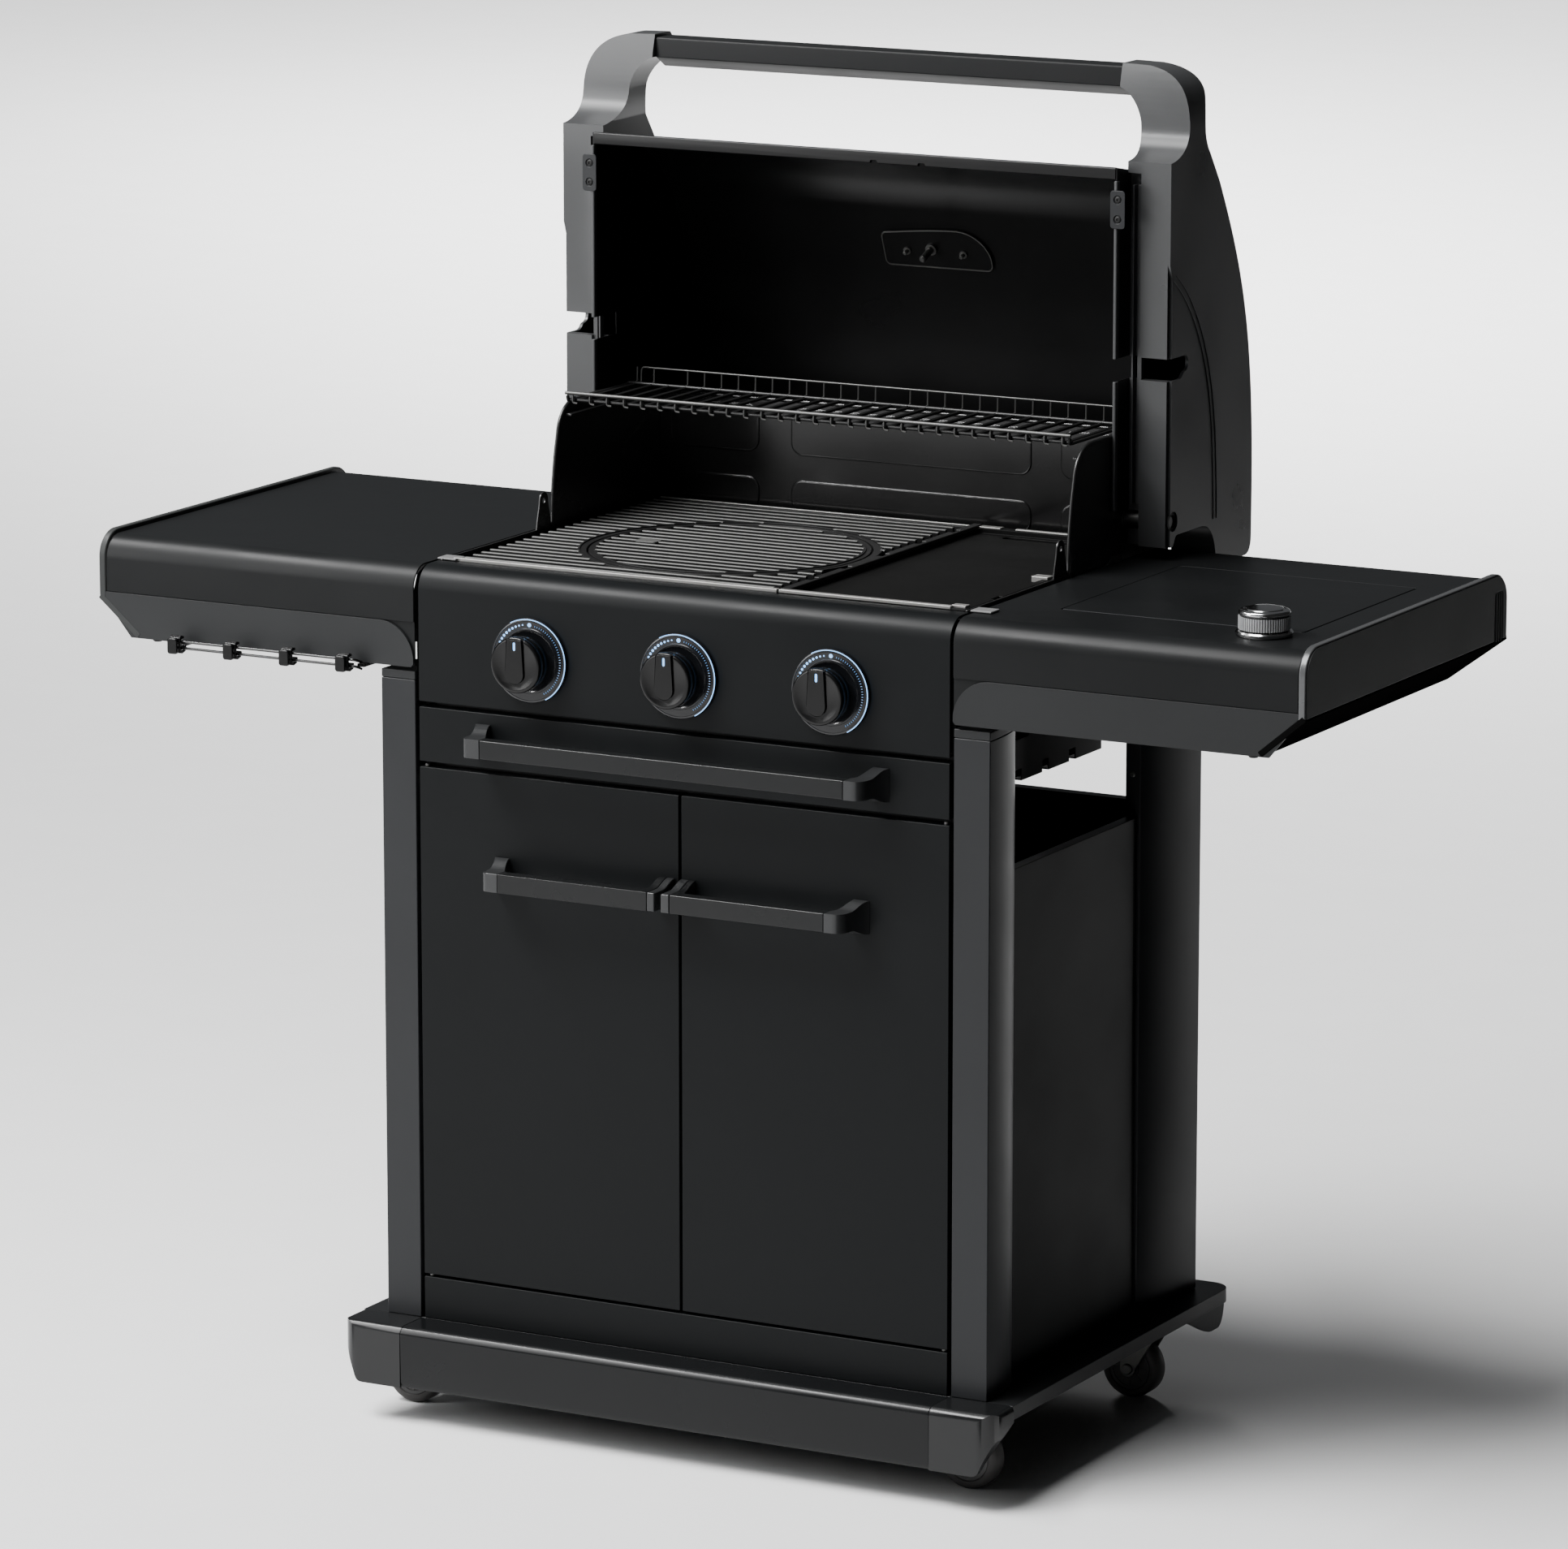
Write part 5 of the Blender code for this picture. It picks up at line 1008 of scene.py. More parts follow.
def build_insert(cx, cy, pitch, first):
    x0, x1, _, _, z0, z1 = ext("grate_insert")
    radius = (x1 - x0) / 2
    inner = radius - 0.0082
    bodies = [lathe_ring(cx, cy, radius, inner, z0, z1 - 0.0016),
              lathe_ring(cx, cy, inner + 0.0030, inner, z1 - 0.0017, z1 - 0.0004)]
    for x in (cx - 0.062, cx + 0.048):
        reach = math.sqrt(inner ** 2 - (x - cx) ** 2)
        bodies.append(cuboid(x - 0.0035, x + 0.0035, cy - reach, cy + reach, z0, z0 + 0.0022))
    crowns = []
    for i in range(1, 25):
        y = first + i * pitch
        if abs(y - cy) > inner - 0.003:
            continue
        reach = math.sqrt((inner + 0.001) ** 2 - (y - cy) ** 2)
        body, crown = grate_bar(y, z0, z1, cx - reach, cx + reach)
        bodies.append(body)
        crowns.append(crown)
    piece("grate_insert_bodies", merge(*bodies), DARK_IRON, "insert", bevel=0.0004, segments=2, angle=50,
          stands_for=["grate_insert"])
    # The crowns' lighter grey is a painted highlight on the bars' tops.
    crowns.append(prism(round_rect(cx - 0.104, cx - 0.080, cy - 0.012, cy + 0.004, 0.003), "z", z1 - 0.0012,
                        z1 + 0.0006))
    piece("grate_insert_crowns", merge(*crowns), IRON_HIGHLIGHT, "insert", bevel=0.0004, segments=2, angle=60)


def build_griddle():
    x0, x1, y0, y1, z0, z1 = ext("griddle")
    slab = cuboid(x0, x1, y0, y1, z0, z1)
    dish = prism(round_rect(x0 + 0.0105, x1 - 0.0085, y0 + 0.0070, y1 - 0.0120, 0.006), "z", z0 + 0.0035, z1
                 + 0.01)
    slots = [cuboid(x0 - 0.001, x0 + 0.0060, y, y + 0.020, z1 - 0.0035, z1 + 0.01)
             for y in (0.105, 0.175, 0.255, 0.335, 0.410)]
    slots += [cuboid(x1 - 0.0045, x1 + 0.001, y, y + 0.016, z1 - 0.0035, z1 + 0.01)
              for y in (0.110, 0.300, 0.390)]
    drain = prism(round_rect(x0 + 0.045, x1 - 0.045, y1 - 0.030, y1 - 0.018, 0.005), "z", z0 - 0.01, z1
                  + 0.01)
    piece("griddle_plate", carve(slab, dish, drain, *slots), GRIDDLE, "griddle", bevel=0.0010, angle=40,
          stands_for=["griddle"])
    rim = cuboid(x0 - 0.0004, x0 + 0.0098, y0 + 0.004, y1 - 0.002, z1 - 0.0015, z1 + 0.0024)
    dents = [cuboid(x0 - 0.001, x0 + 0.0052, y, y + 0.016, z1 - 0.0035, z1 + 0.01)
             for y in (0.105, 0.175, 0.255, 0.335, 0.410)]
    piece("griddle_rim", carve(rim, *dents), DARK_IRON, "griddle", bevel=0.0012)
    # Lighter metal strips along the griddle's edges and corners: painted highlight.
    trims = [cuboid(x0 + 0.001, x1 - 0.016, y0 - 0.0004, y0 + 0.0062, z1 - 0.0012, z1 + 0.0022),
             cuboid(x0 + 0.008, x0 + 0.034, y1 - 0.0105, y1 - 0.0015, z1 - 0.001, z1 + 0.0012),
             cuboid(x0 + 0.050, x1 - 0.004, y1 - 0.0085, y1 - 0.0030, z1 - 0.001, z1 + 0.0012),
             cuboid(x1 - 0.0190, x1 - 0.0035, y0 + 0.0070, y0 + 0.0170, z1 - 0.001, z1 + 0.0022),
             cuboid(x1 - 0.0200, x1 - 0.0020, 0.2270, 0.2400, z1 - 0.004, z1 + 0.0022)]
    piece("griddle_edges", merge(*trims), EDGE_HIGHLIGHT, "griddle", bevel=0.0007)


def build_rack():
    x0, x1, y0, y1, z0, z1 = ext("warming_rack")
    low = z0 + 0.002
    front_z, back_z = low + 0.0085, z1 - 0.0012
    pitch = 0.0199
    count = int((x1 - x0 - 0.010) / pitch)
    start = -pitch * count / 2
    cross, upstand = [], []
    for i in range(count + 1):
        x = start + i * pitch
        path = [(x, y0 + 0.0030, front_z - 0.0030), (x, y0 + 0.0022, low - 0.0012), (x, y0 + 0.010, low),
                (x, y1 - 0.0022, low)]
        cross.append(tube(fillet(path, 0.004, 3), 0.0021, 6))
        foot = [(x, y0 + 0.0018, front_z), (x, y0 + 0.0014, low - 0.0012),
                (x + 0.0052, y0 + 0.0014, low - 0.0016)]
        upstand.append(tube(fillet(foot, 0.002, 3), 0.0009, 6))
        if i not in (2, 15):
            upstand.append(tube(fillet([(x, y1 - 0.0060, low + 0.0024), (x, y1 - 0.0020, low + 0.0024),
                                        (x, y1 - 0.0016, back_z)], 0.002, 3), 0.0009, 6))
    for y, z, r in ((y0 + 0.0060, low + 0.0012, 0.0018), (y1 - 0.0060, low + 0.0012, 0.0018)):
        cross.append(tube([(x0 + 0.001, y, z), (x1 - 0.001, y, z)], r, 8))
    for side in SIDES.values():
        x = side * (x1 - 0.0028)
        cross.append(tube(fillet([(x, y0 + 0.0030, front_z - 0.003), (x, y0 + 0.004, low),
                                  (x, y1 - 0.004, low)], 0.003, 3), 0.0018, 8))
    # The cross wires take the darker tone as painted shade.
    piece("rack_cross_wires", merge(*cross), WIRE_SHADE, "rack", smooth=50, stands_for=["warming_rack"])
    upstand.append(tube([(x0 + 0.001, y0 + 0.0018, front_z), (x1 - 0.001, y0 + 0.0018, front_z)], 0.0019, 8))
    upstand.append(tube(fillet([(-0.2735, y1 - 0.0030, low), (-0.2735, y1 - 0.0016, back_z),
                                (0.2735, y1 - 0.0016, back_z),
                                (0.2735, y1 - 0.0030, low)], 0.004, 4), 0.0010, 8))
    # The rails take the lighter tone as a painted highlight.
    piece("rack_rails", merge(*upstand), WIRE_HIGHLIGHT, "rack", smooth=50)


def build_burners():
    dress(STEEL, "valve_stem_1", "valve_stem_2", "valve_stem_3")
    dress(BRASS, "gas_manifold")
    for number in (1, 2, 3):
        x = knob_x(number)
        x0, x1, y0, y1 = ext(f"burner_{number}")[:4]
        r = (x1 - x0) / 2
        body = lathe([(y0, r * 0.75), (y0 + 0.012, r * 0.75), (y0 + 0.025, r), (y1 - 0.012, r),
                      (y1 - 0.003, r * 0.7), (y1, r * 0.3)],
                     "y", x, KNOB_Z, 32)
        # Black pegs that stand for the burner's port holes: painted shade, no holes are cut.
        ports = []
        for i in range(34):
            for out in (-1, 1):
                y = y0 + 0.06 + i * 0.0095
                ports.append(rod(KNOB_Z + r * 0.70, KNOB_Z + r * 1.02, 0.0012, "z", x + out * 0.0045, y, 8))
        piece(f"burner_{number}_tube", body, STEEL, "cart", smooth=30, stands_for=[f"burner_{number}"])
        piece(f"burner_{number}_ports", merge(*ports), DIAL_MARK, "cart")
    x0, x1, y0, y1, z0 = ext("heat_diffuser")[:5]
    bars = []
    for x in (-0.225, -KX, -0.084, 0.0, 0.084, KX, 0.225):
        tent = [(x - 0.027, z0 + 0.0006), (x, z0 + 0.012), (x + 0.027, z0 + 0.0006)]
        bars.append(prism(strip(tent, -0.0012), "y", y0, y1))
    bars.append(cuboid(x0, x1, y0, y0 + 0.010, z0, z0 + 0.0015))
    bars.append(cuboid(x0, x1, y1 - 0.010, y1, z0, z0 + 0.0015))
    piece("heat_tents", merge(*bars), DARK_IRON, "cart", bevel=0.0004, stands_for=["heat_diffuser"])


KX = abs(knob_x(1))


# ------------------------------------------------------------------ hood
HOOD_CURVE = ((0.5746, 0.872), (0.578, 1.060), (0.560, 1.130), (0.490, 1.245))
DIAL_AT = (0.5398, 1.1492)
PIN_AT = (0.3873, 0.9133)
END_HOLE = PIN_AT[0] + 0.003
END_IN, END_OUT, END_FLANGE, END_LOW = 0.2990, 0.3465, 0.378, 0.888
HORN = 1.364
LEAN = 22  # degrees that the dial leans back


def hood_back_line():
    """The shell's back from its top lip to its foot, on its outer face."""
    curve = bez(*HOOD_CURVE, steps=40)[:-6]
    top = [(0.358, 1.2690)] + bez((0.372, 1.2665), (0.430, 1.256), (0.470, 1.244), (0.496, 1.2180), 14)
    return top + [(a - 0.001, b) for a, b in reversed(curve)] + [(0.5690, 0.855)]


def build_hood_shell():
    x0, x1 = ext("hood_shell")[:2]
    skin = 0.0018
    line = hood_back_line()
    back = prism(strip(line, -skin), "x", x0 + skin, x1 - skin)
    eye = rod(DIAL_AT[0] - 0.04, DIAL_AT[0] + 0.04, 0.005, "y", 0.0, DIAL_AT[1], 24)
    back = carve(back, turn(eye, LEAN, "X", (0, *DIAL_AT)))
    piece("hood_back_skin", back, HOOD, "hood", smooth=25, stands_for=["hood_shell"])
    lip = 0.355
    low = 0.925
    outline = [(lip, low)] + [(lip, 1.269)] + line + [(0.4915, 0.855), (0.4890, 0.870)]
    outline = trace(*outline, ((0.484, 0.890), (0.470, 0.902), (0.440, 0.914), 8), (0.4200, low))
    for name, side in SIDES.items():
        plate = prism(outline, "x", *span(side, x1 - skin, x1))
        notch = cuboid(-0.4, 0.4, lip - 0.02, 0.400, 1.0555, 1.0782)
        piece(f"hood_side_{name}", carve(plate, notch), HOOD, "hood", bevel=0.0005)
        hem = []
        for z_low, z_high in ((low, 1.0555), (1.0782, 1.2560)):
            hem.append(prism(round_rect(*span(side, 0.2958, 0.2999), lip - 0.0022, lip + 0.0040, 0.0014, 4),
                             "z", z_low + 0.0002, z_high))
        piece(f"hood_lip_{name}", merge(*hem), CAST, "hood", bevel=0.0004)
        build_bracket(name, side, lip)
    rim = prism(round_rect(lip - 0.0010, lip + 0.0040, 1.2570, 1.2695, 0.0018, 4), "x", x0 + 0.0015,
                x1 - 0.0015)
    notches = [prism(round_rect(x - 0.004, x + 0.004, 1.250, 1.2605, 0.002), "y", 0.34, 0.38)
               for x in (0.0267, 0.0809)]
    piece("hood_front_rim", carve(rim, *notches), HOOD, "hood", bevel=0.0005)
    build_inner_plate()


def build_bracket(name, side, lip):
    z = 1.228
    plate = prism(round_rect(*span(side, 0.2925, 0.3088), z - 0.019, z + 0.019, 0.0035), "y", lip - 0.0034,
                  lip - 0.0016)
    holes = [rod(lip - 0.02, lip - 0.0022, 0.0042, "y", side * 0.3006, z + d, 24) for d in (-0.0098, 0.0098)]
    piece(f"hood_bracket_{name}", carve(plate, *holes), CHARCOAL, "hood", bevel=0.0009)
    heads = [screw("y", -1, side * 0.3006, z + d, lip - 0.0021, 0.0034, 0.0012) for d in (-0.0098, 0.0098)]
    piece(f"hood_bracket_screws_{name}", merge(*heads), RUBBER, "hood")


def build_inner_plate():
    """The dial's backing plate inside the hood, with its studs."""
    lean = (0, DIAL_AT[0], DIAL_AT[1])
    y = DIAL_AT[0] - 0.0045
    z = DIAL_AT[1]
    outline = arc(-0.050, z + 0.010, 0.006, 90, 180, 5) + arc(-0.0505, z - 0.0165, 0.0055, 180, 270, 5)
    outline += arc(0.060, z - 0.015, 0.007, 270, 360, 5)
    outline += bez((0.067, z - 0.010), (0.067, z + 0.004), (0.054, z + 0.0215), (0.032, z + 0.0225), 8)
    outline += bez((0.030, z + 0.0225), (0.000, z + 0.022), (-0.030, z + 0.018), (-0.050, z + 0.016), 6)[1:]
    plate = prism(outline, "y", y - 0.0012, y + 0.0012)
    piece("dial_plate", turn(plate, LEAN, "X", lean), HOOD, "hood", bevel=0.0008)
    ridge = tube([(a, y - 0.0012, b) for a, b in outline], 0.0009, 6, closed=True)
    studs = [ridge]
    for x, dz in ((-0.029, -0.004), (0.036, -0.004), (0.0, 0.002)):
        studs.append(lathe([(y - 0.0005, 0.0042), (y - 0.0030, 0.0042), (y - 0.0030, 0.0022),
                            (y - 0.0080, 0.0022), (y - 0.0086, 0.0016)],
                           "y", x, z + dz, 20))
    studs.append(lathe([(y - 0.001, 0.0062), (y - 0.0045, 0.0062), (y - 0.0045, 0.0036), (y - 0.0240, 0.0036),
                        (y - 0.0255, 0.0024)],
                       "y", 0.0, z, 24))
    piece("dial_studs", turn(merge(*studs), LEAN, "X", lean), ZINC, "hood", smooth=30)


def build_hood_ends():
    for name, side in SIDES.items():
        node = "hood_end_" + name
        web = [cuboid(*span(side, 0.3040, 0.3060), 0.3790, 0.3862, 0.930, 1.2500),
               cuboid(*span(side, 0.3090, 0.3140), 0.3820, 0.3862, 0.930, 1.2500)]
        piece(node + "_web", merge(*web), CAST, "hood", bevel=0.0006)
        views = prism(mir(end_front_view(), side), "y", 0.36, 0.60), prism(end_side_view(), "x", -0.5, 0.5)
        block = carve(*views, operation="INTERSECT")
        piece(node + "_casting", carve(block, *end_hollows(side)), CAST, "hood", bevel=0.0016, segments=3,
              angle=38,
              stands_for=[node])
        face = side * (END_OUT - 0.0004)
        lines = []
        for shift, lift in ((0.0, 0.0), (0.0075, 0.004)):
            line = trace((0.3850 + shift, 1.1560 + lift),
                         ((0.440 + shift, 1.120 + lift), (0.470 + shift, 1.060), (0.478 + shift, 0.990), 20),
                         ((0.4815 + shift, 0.960), (0.483 + shift, 0.930), (0.4835 + shift, 0.902), 8))
            lines.append(tube([(face, a, b) for a, b in line], 0.0010, 8))
        piece(node + "_relief", merge(*lines), CAST, "hood", smooth=80)
        washer = ring(0.0100, 0.0066, "x", END_HOLE, PIN_AT[1], side * (END_OUT - 0.0026),
                      side * (END_OUT - 0.0014))
        piece(node + "_washer", washer, RUBBER, "hood", smooth=30)


def end_front_view():
    """Front view of the right-hand casting, with the horn that holds the handle bar."""
    out = END_OUT
    return trace((END_IN, 0.84), (out, 0.84), (out, 1.296),
                 ((out + 0.0012, 1.336), (0.333, 1.3585), (0.296, 1.3632), 24),
                 (0.267, HORN), (0.267, 1.3405), ((0.282, 1.336), (0.292, 1.318), (0.2925, 1.305), 14),
                 ((0.2935, 1.290), (0.2975, 1.280), (END_IN, 1.276), 6))


def end_side_view():
    """Side view: up the front flange, round the horn, and down the hood's curve to the foot."""
    foot = 1.2735
    back = list(reversed(bez(*HOOD_CURVE, steps=40)))
    return trace((END_FLANGE, END_LOW), (END_FLANGE, foot),
                 ((0.396, foot + 0.0015), (0.4205, 1.282), (0.4205, 1.308), 20),
                 ((0.4205, 1.325), (0.424, 1.345), (0.4300, HORN), 8), (0.462, HORN),
                 ((0.470, 1.358), (0.4735, 1.345), (0.466, 1.333), 8),
                 ((0.452, 1.312), (0.454, 1.290), (0.468, 1.275), 10),
                 *back, ((0.5746, 0.860), (0.570, 0.853), (0.560, 0.853), 6), (0.492, 0.853),
                 ((0.4900, 0.880), (0.480, 0.8985), (0.455, 0.8988), 10), (0.4000, 0.8988),
                 ((0.394, 0.8985), (0.393, 0.890), (0.390, END_LOW), 5))


def end_hollows(side):
    """What is cut from a casting: pocket, outer recess and step, the rack's notch and the pin's hole."""
    wall = 0.0035
    inner_cut = END_IN - 0.01
    pocket = [(0.3895, 0.9025), (0.3895, 1.262), (END_FLANGE + wall + 0.012, 1.262), (0.470, 1.240)]
    pocket += [(a - wall, b - 0.002) for a, b in reversed(bez(*HOOD_CURVE, steps=40)[:-8])]
    pocket += [(0.569, 0.862), (0.4960, 0.860), (0.490, 0.884), (0.474, 0.9025)]
    recess = span(side, END_OUT - 0.0028, END_OUT + 0.01)
    step = [(0.36, 1.157), (0.3835, 1.157), (0.378, 1.172), (0.36, 1.176)]
    notch = trace((0.36, 1.0555), (0.402, 1.0555), ((0.409, 1.0555), (0.409, 1.0618), (0.414, 1.0618), 6),
                  *arc(0.4138, 1.0700, 0.0082, -90, 90, 10), (0.36, 1.0782))
    return [prism(pocket, "x", *span(side, inner_cut, END_OUT - wall)),
            cuboid(*span(side, inner_cut, 0.3138), 0.36, 0.3860, END_LOW - 0.01, 1.2620),
            cuboid(*recess, 0.36, 0.3835, 0.84, 1.1580), prism(step, "x", *recess),
            prism(notch, "x", -0.5, 0.5),
            rod(-0.5, 0.5, 0.0102, "x", END_HOLE, PIN_AT[1], 40)]


def build_hood_handle():
    x0, x1 = ext("hood_handle")[:2]
    section = [(0.4310, 1.3405), (0.4310, 1.3580)]
    section += arc(0.4335, 1.3585, 0.0025, 180, 90, 5)[1:] + [(0.4570, 1.3610)]
    section += arc(0.4570, 1.3550, 0.0060, 90, 10, 6)[1:] + [(0.4658, 1.3460)]
    section += arc(0.4600, 1.3355, 0.0060, 20, -90, 6)
    section += [(0.4490, 1.3296)]
    piece("hood_handle_bar", prism(section, "x", x0, x1), HOOD_BAR, "hood", bevel=0.0008, angle=40,
          stands_for=["hood_handle"])


def build_thermometer():
    lean = (0, DIAL_AT[0], DIAL_AT[1])
    y, z = DIAL_AT[0] + 0.0003, DIAL_AT[1]
    case = [(y, 0.0200), (y + 0.0010, 0.0320), (y + 0.0070, 0.0330), (y + 0.0098, 0.0330),
            (y + 0.0103, 0.0322), (y + 0.0103, 0.0300),
            (y + 0.0085, 0.0292)]
    piece("dial_case", turn(lathe(case, "y", 0.0, z, 72), LEAN, "X", lean), CHROME, "hood", smooth=30,
          stands_for=["thermometer"])
    card = lathe([(y + 0.0084, 0.0290), (y + 0.0088, 0.0289)], "y", 0.0, z, 64)
    piece("dial_card", turn(card, LEAN, "X", lean), DIAL, "hood", smooth=30)
    marks = []
    for i in range(31):
        t = math.radians(-135 + 9 * i)
        near = 0.0225 if i % 5 == 0 else 0.0245
        path = [(-r * math.sin(t), y + 0.0089, z + r * math.cos(t)) for r in (near, 0.0272)]
        marks.append(tube(path, 0.00035 if i % 5 else 0.0006, 6))
    piece("dial_marks", turn(merge(*marks), LEAN, "X", lean), DIAL_MARK, "hood", smooth=30)
    needle = prism([(-0.0008, z - 0.006), (0.0008, z - 0.006), (0.0003, z + 0.021), (-0.0003, z + 0.021)],
                   "y", y + 0.0090, y + 0.0096)
    pivot = lathe([(y + 0.0088, 0.0030), (y + 0.0104, 0.0024)], "y", 0.0, z, 24)
    needle = merge(turn(needle, 120, "Y", (0, y, z)), pivot)
    piece("dial_needle", turn(needle, LEAN, "X", lean), DIAL_RED, "hood", smooth=30)


# ------------------------------------------------------------------ shelves
SHELF_LOW, SHELF_IN = 0.7725, 0.302
CAP_LOW, FASCIA_TOP = 0.811, 0.8176


def build_shelves():
    for name, side in SIDES.items():
        node = f"shelf_{name}_top"
        x0, x1, y0, y1, z0 = ext(node)[:5]
        bm = prism(rolled(z0, y0, y1, z0), "x", x0, x1)
        if side > 0:
            lid = ext("side_burner_lid")
            gap = 0.0012
            bm = carve(bm, prism(round_rect(lid[0] - gap, lid[1] + gap, lid[2] - gap, lid[3] + gap, 0.004),
                                 "z", 0.86, 0.89),
                       rod(0.86, 0.89, 0.006, "z", SIDE_KNOB[0], SIDE_KNOB[1], 24))
        piece(node + "_skin", bm, PANEL_TOP, "cart", bevel=0.0007, angle=50, stands_for=[node])
        build_shelf_frame(name, side)


def cap_profile(front, back, low, top, r, inset=0.0):
    i = inset
    points = [(front + i, low + i)] + arc(front + r, top - r, r - i, 180, 90, 14)
    return points + arc(back - r, top - r, r - i, 90, 0, 14) + [(back - i, low + i)]


def build_shelf_frame(name, side):
    node = f"shelf_{name}_frame"
    y0, y1, _, top = ext(node)[2:]
    out = near_far(node)[1]
    low_x = out - 0.046
    build_shelf_cap(name, side, out, y0, y1, top)
    tail = 0.432
    slope = [(out, CAP_LOW), (low_x, SHELF_LOW), (low_x - 0.006, SHELF_LOW)]
    below = [(tail, SHELF_LOW - 0.02), (tail, SHELF_LOW - 0.0002), (y1, CAP_LOW - 0.001),
             (y1 + 0.01, CAP_LOW + 0.008),
             (y1 + 0.01, SHELF_LOW - 0.02)]
    skin = carve(prism(mir(strip(slope, -0.0025), side), "y", y0 + 0.0042, y1), prism(below, "x", -0.8, 0.8))
    # The slope under each end cap is painted black: painted shade for an underside in shadow.
    piece(f"shelf_{name}_slope", skin, PAINTED_SHADE, "cart", bevel=0.0008)
    edge = prism(mir(strip(slope[:2], -0.0062), side), "y", y0 - 0.0002, y0 + 0.0040)
    # The right slope's front edge is painted black as painted shade; the left one keeps the cap moulding.
    piece(f"shelf_{name}_slope_edge", edge, PAINTED_SHADE if side > 0 else CAP, "cart", bevel=0.0008)
    build_shelf_front(name, side, out, low_x, y0 + 0.0004)
    build_shelf_under(name, side, out, low_x, y0 + 0.0004, y1, tail)


def build_shelf_cap(name, side, out, y0, y1, top):
    """The end cap, its outer face and the ribbed slot near its rear; the right cap takes a painted highlight,
    so its face reads darker.
    """
    cap_in = out - 0.009
    r = 0.027
    cap = prism(cap_profile(y0, y1, CAP_LOW, top, r), "x", *span(side, cap_in + 0.0003, out - 0.0012))
    hollow = cap_profile(y0 + 0.004, y1 - 0.004, CAP_LOW - 0.02, top - 0.0065, r - 0.003)
    cap = carve(cap, prism(hollow, "x", *span(side, cap_in - 0.01, out - 0.0035)))
    # The right cap takes the lighter copy as a painted highlight; the left keeps the plain moulding.
    piece(f"shelf_{name}_cap", cap, CAP_HIGHLIGHT if side > 0 else CAP, "cart", bevel=0.0016, segments=3,
          stands_for=[f"shelf_{name}_frame"])
    face = prism(cap_profile(y0, y1, CAP_LOW, top, r, 0.0022), "x", *span(side, out - 0.0013, out))
    slot = prism(round_rect(0.4390, 0.4600, 0.8080, 0.8620, 0.0045), "x",
                 *span(side, out - 0.0011, out + 0.01))
    piece(f"shelf_{name}_cap_face", carve(face, slot), CAP, "cart", bevel=0.0009)
    ribs = [cuboid(*span(side, out - 0.0012, out - 0.0002), y, y + 0.0016, 0.8115, 0.8600)
            for y in (0.4445, 0.4500, 0.4555)]
    piece(f"shelf_{name}_cap_ribs", merge(*ribs), CAP, "cart")


def build_shelf_front(name, side, out, low_x, face_y):
    """The moulded fascia, the sheet and flange behind it, and a black strip in the gap against the cabinet as
    painted shade.
    """
    inner, corner = SHELF_IN, 0.040
    outline = [(low_x + 0.0075, SHELF_LOW + 0.0002), (out - 0.0014, CAP_LOW + 0.0062),
               (out - 0.0014, FASCIA_TOP)]
    outline += arc(inner + corner, FASCIA_TOP - corner, corner, 90, 172, 16)
    outline += [(inner + 0.0002, SHELF_LOW + 0.0032), (inner + 0.003, SHELF_LOW)]
    fascia = prism(mir(outline, side), "y", face_y, face_y + 0.0026)
    piece(f"shelf_{name}_fascia", fascia, MOULDED, "cart", bevel=0.0011, segments=3)
    backing = [(inner, SHELF_LOW + 0.001), (low_x, SHELF_LOW + 0.001), (out - 0.0100, CAP_LOW + 0.002),
               (out - 0.0100, 0.832), (inner, 0.832)]
    sheet = prism(mir(backing, side), "y", face_y + 0.0028, face_y + 0.0046)
    flange = prism([(0.0015, 0.8120), (0.0015, 0.8500), (0.0080, 0.8650), (0.024, 0.8722), (0.455, 0.8722),
                    (0.455, 0.8120)],
                   "x", *span(side, inner + 0.0002, inner + 0.0016))
    piece(f"shelf_{name}_backing", merge(sheet, flange), PANEL_TOP, "cart")
    # A black strip that fills the gap between shelf and cabinet: painted shade.
    gap_shade_strip = prism([(0.0040, 0.7400), (0.0040, 0.8480), (0.0100, 0.8630), (0.024, 0.8695), (0.036, 0.8695),
                  (0.036, 0.7400)],
                 "x", *span(side, 0.2980, 0.3019))
    piece(f"shelf_{name}_seal", gap_shade_strip, PAINTED_SHADE, "cart")


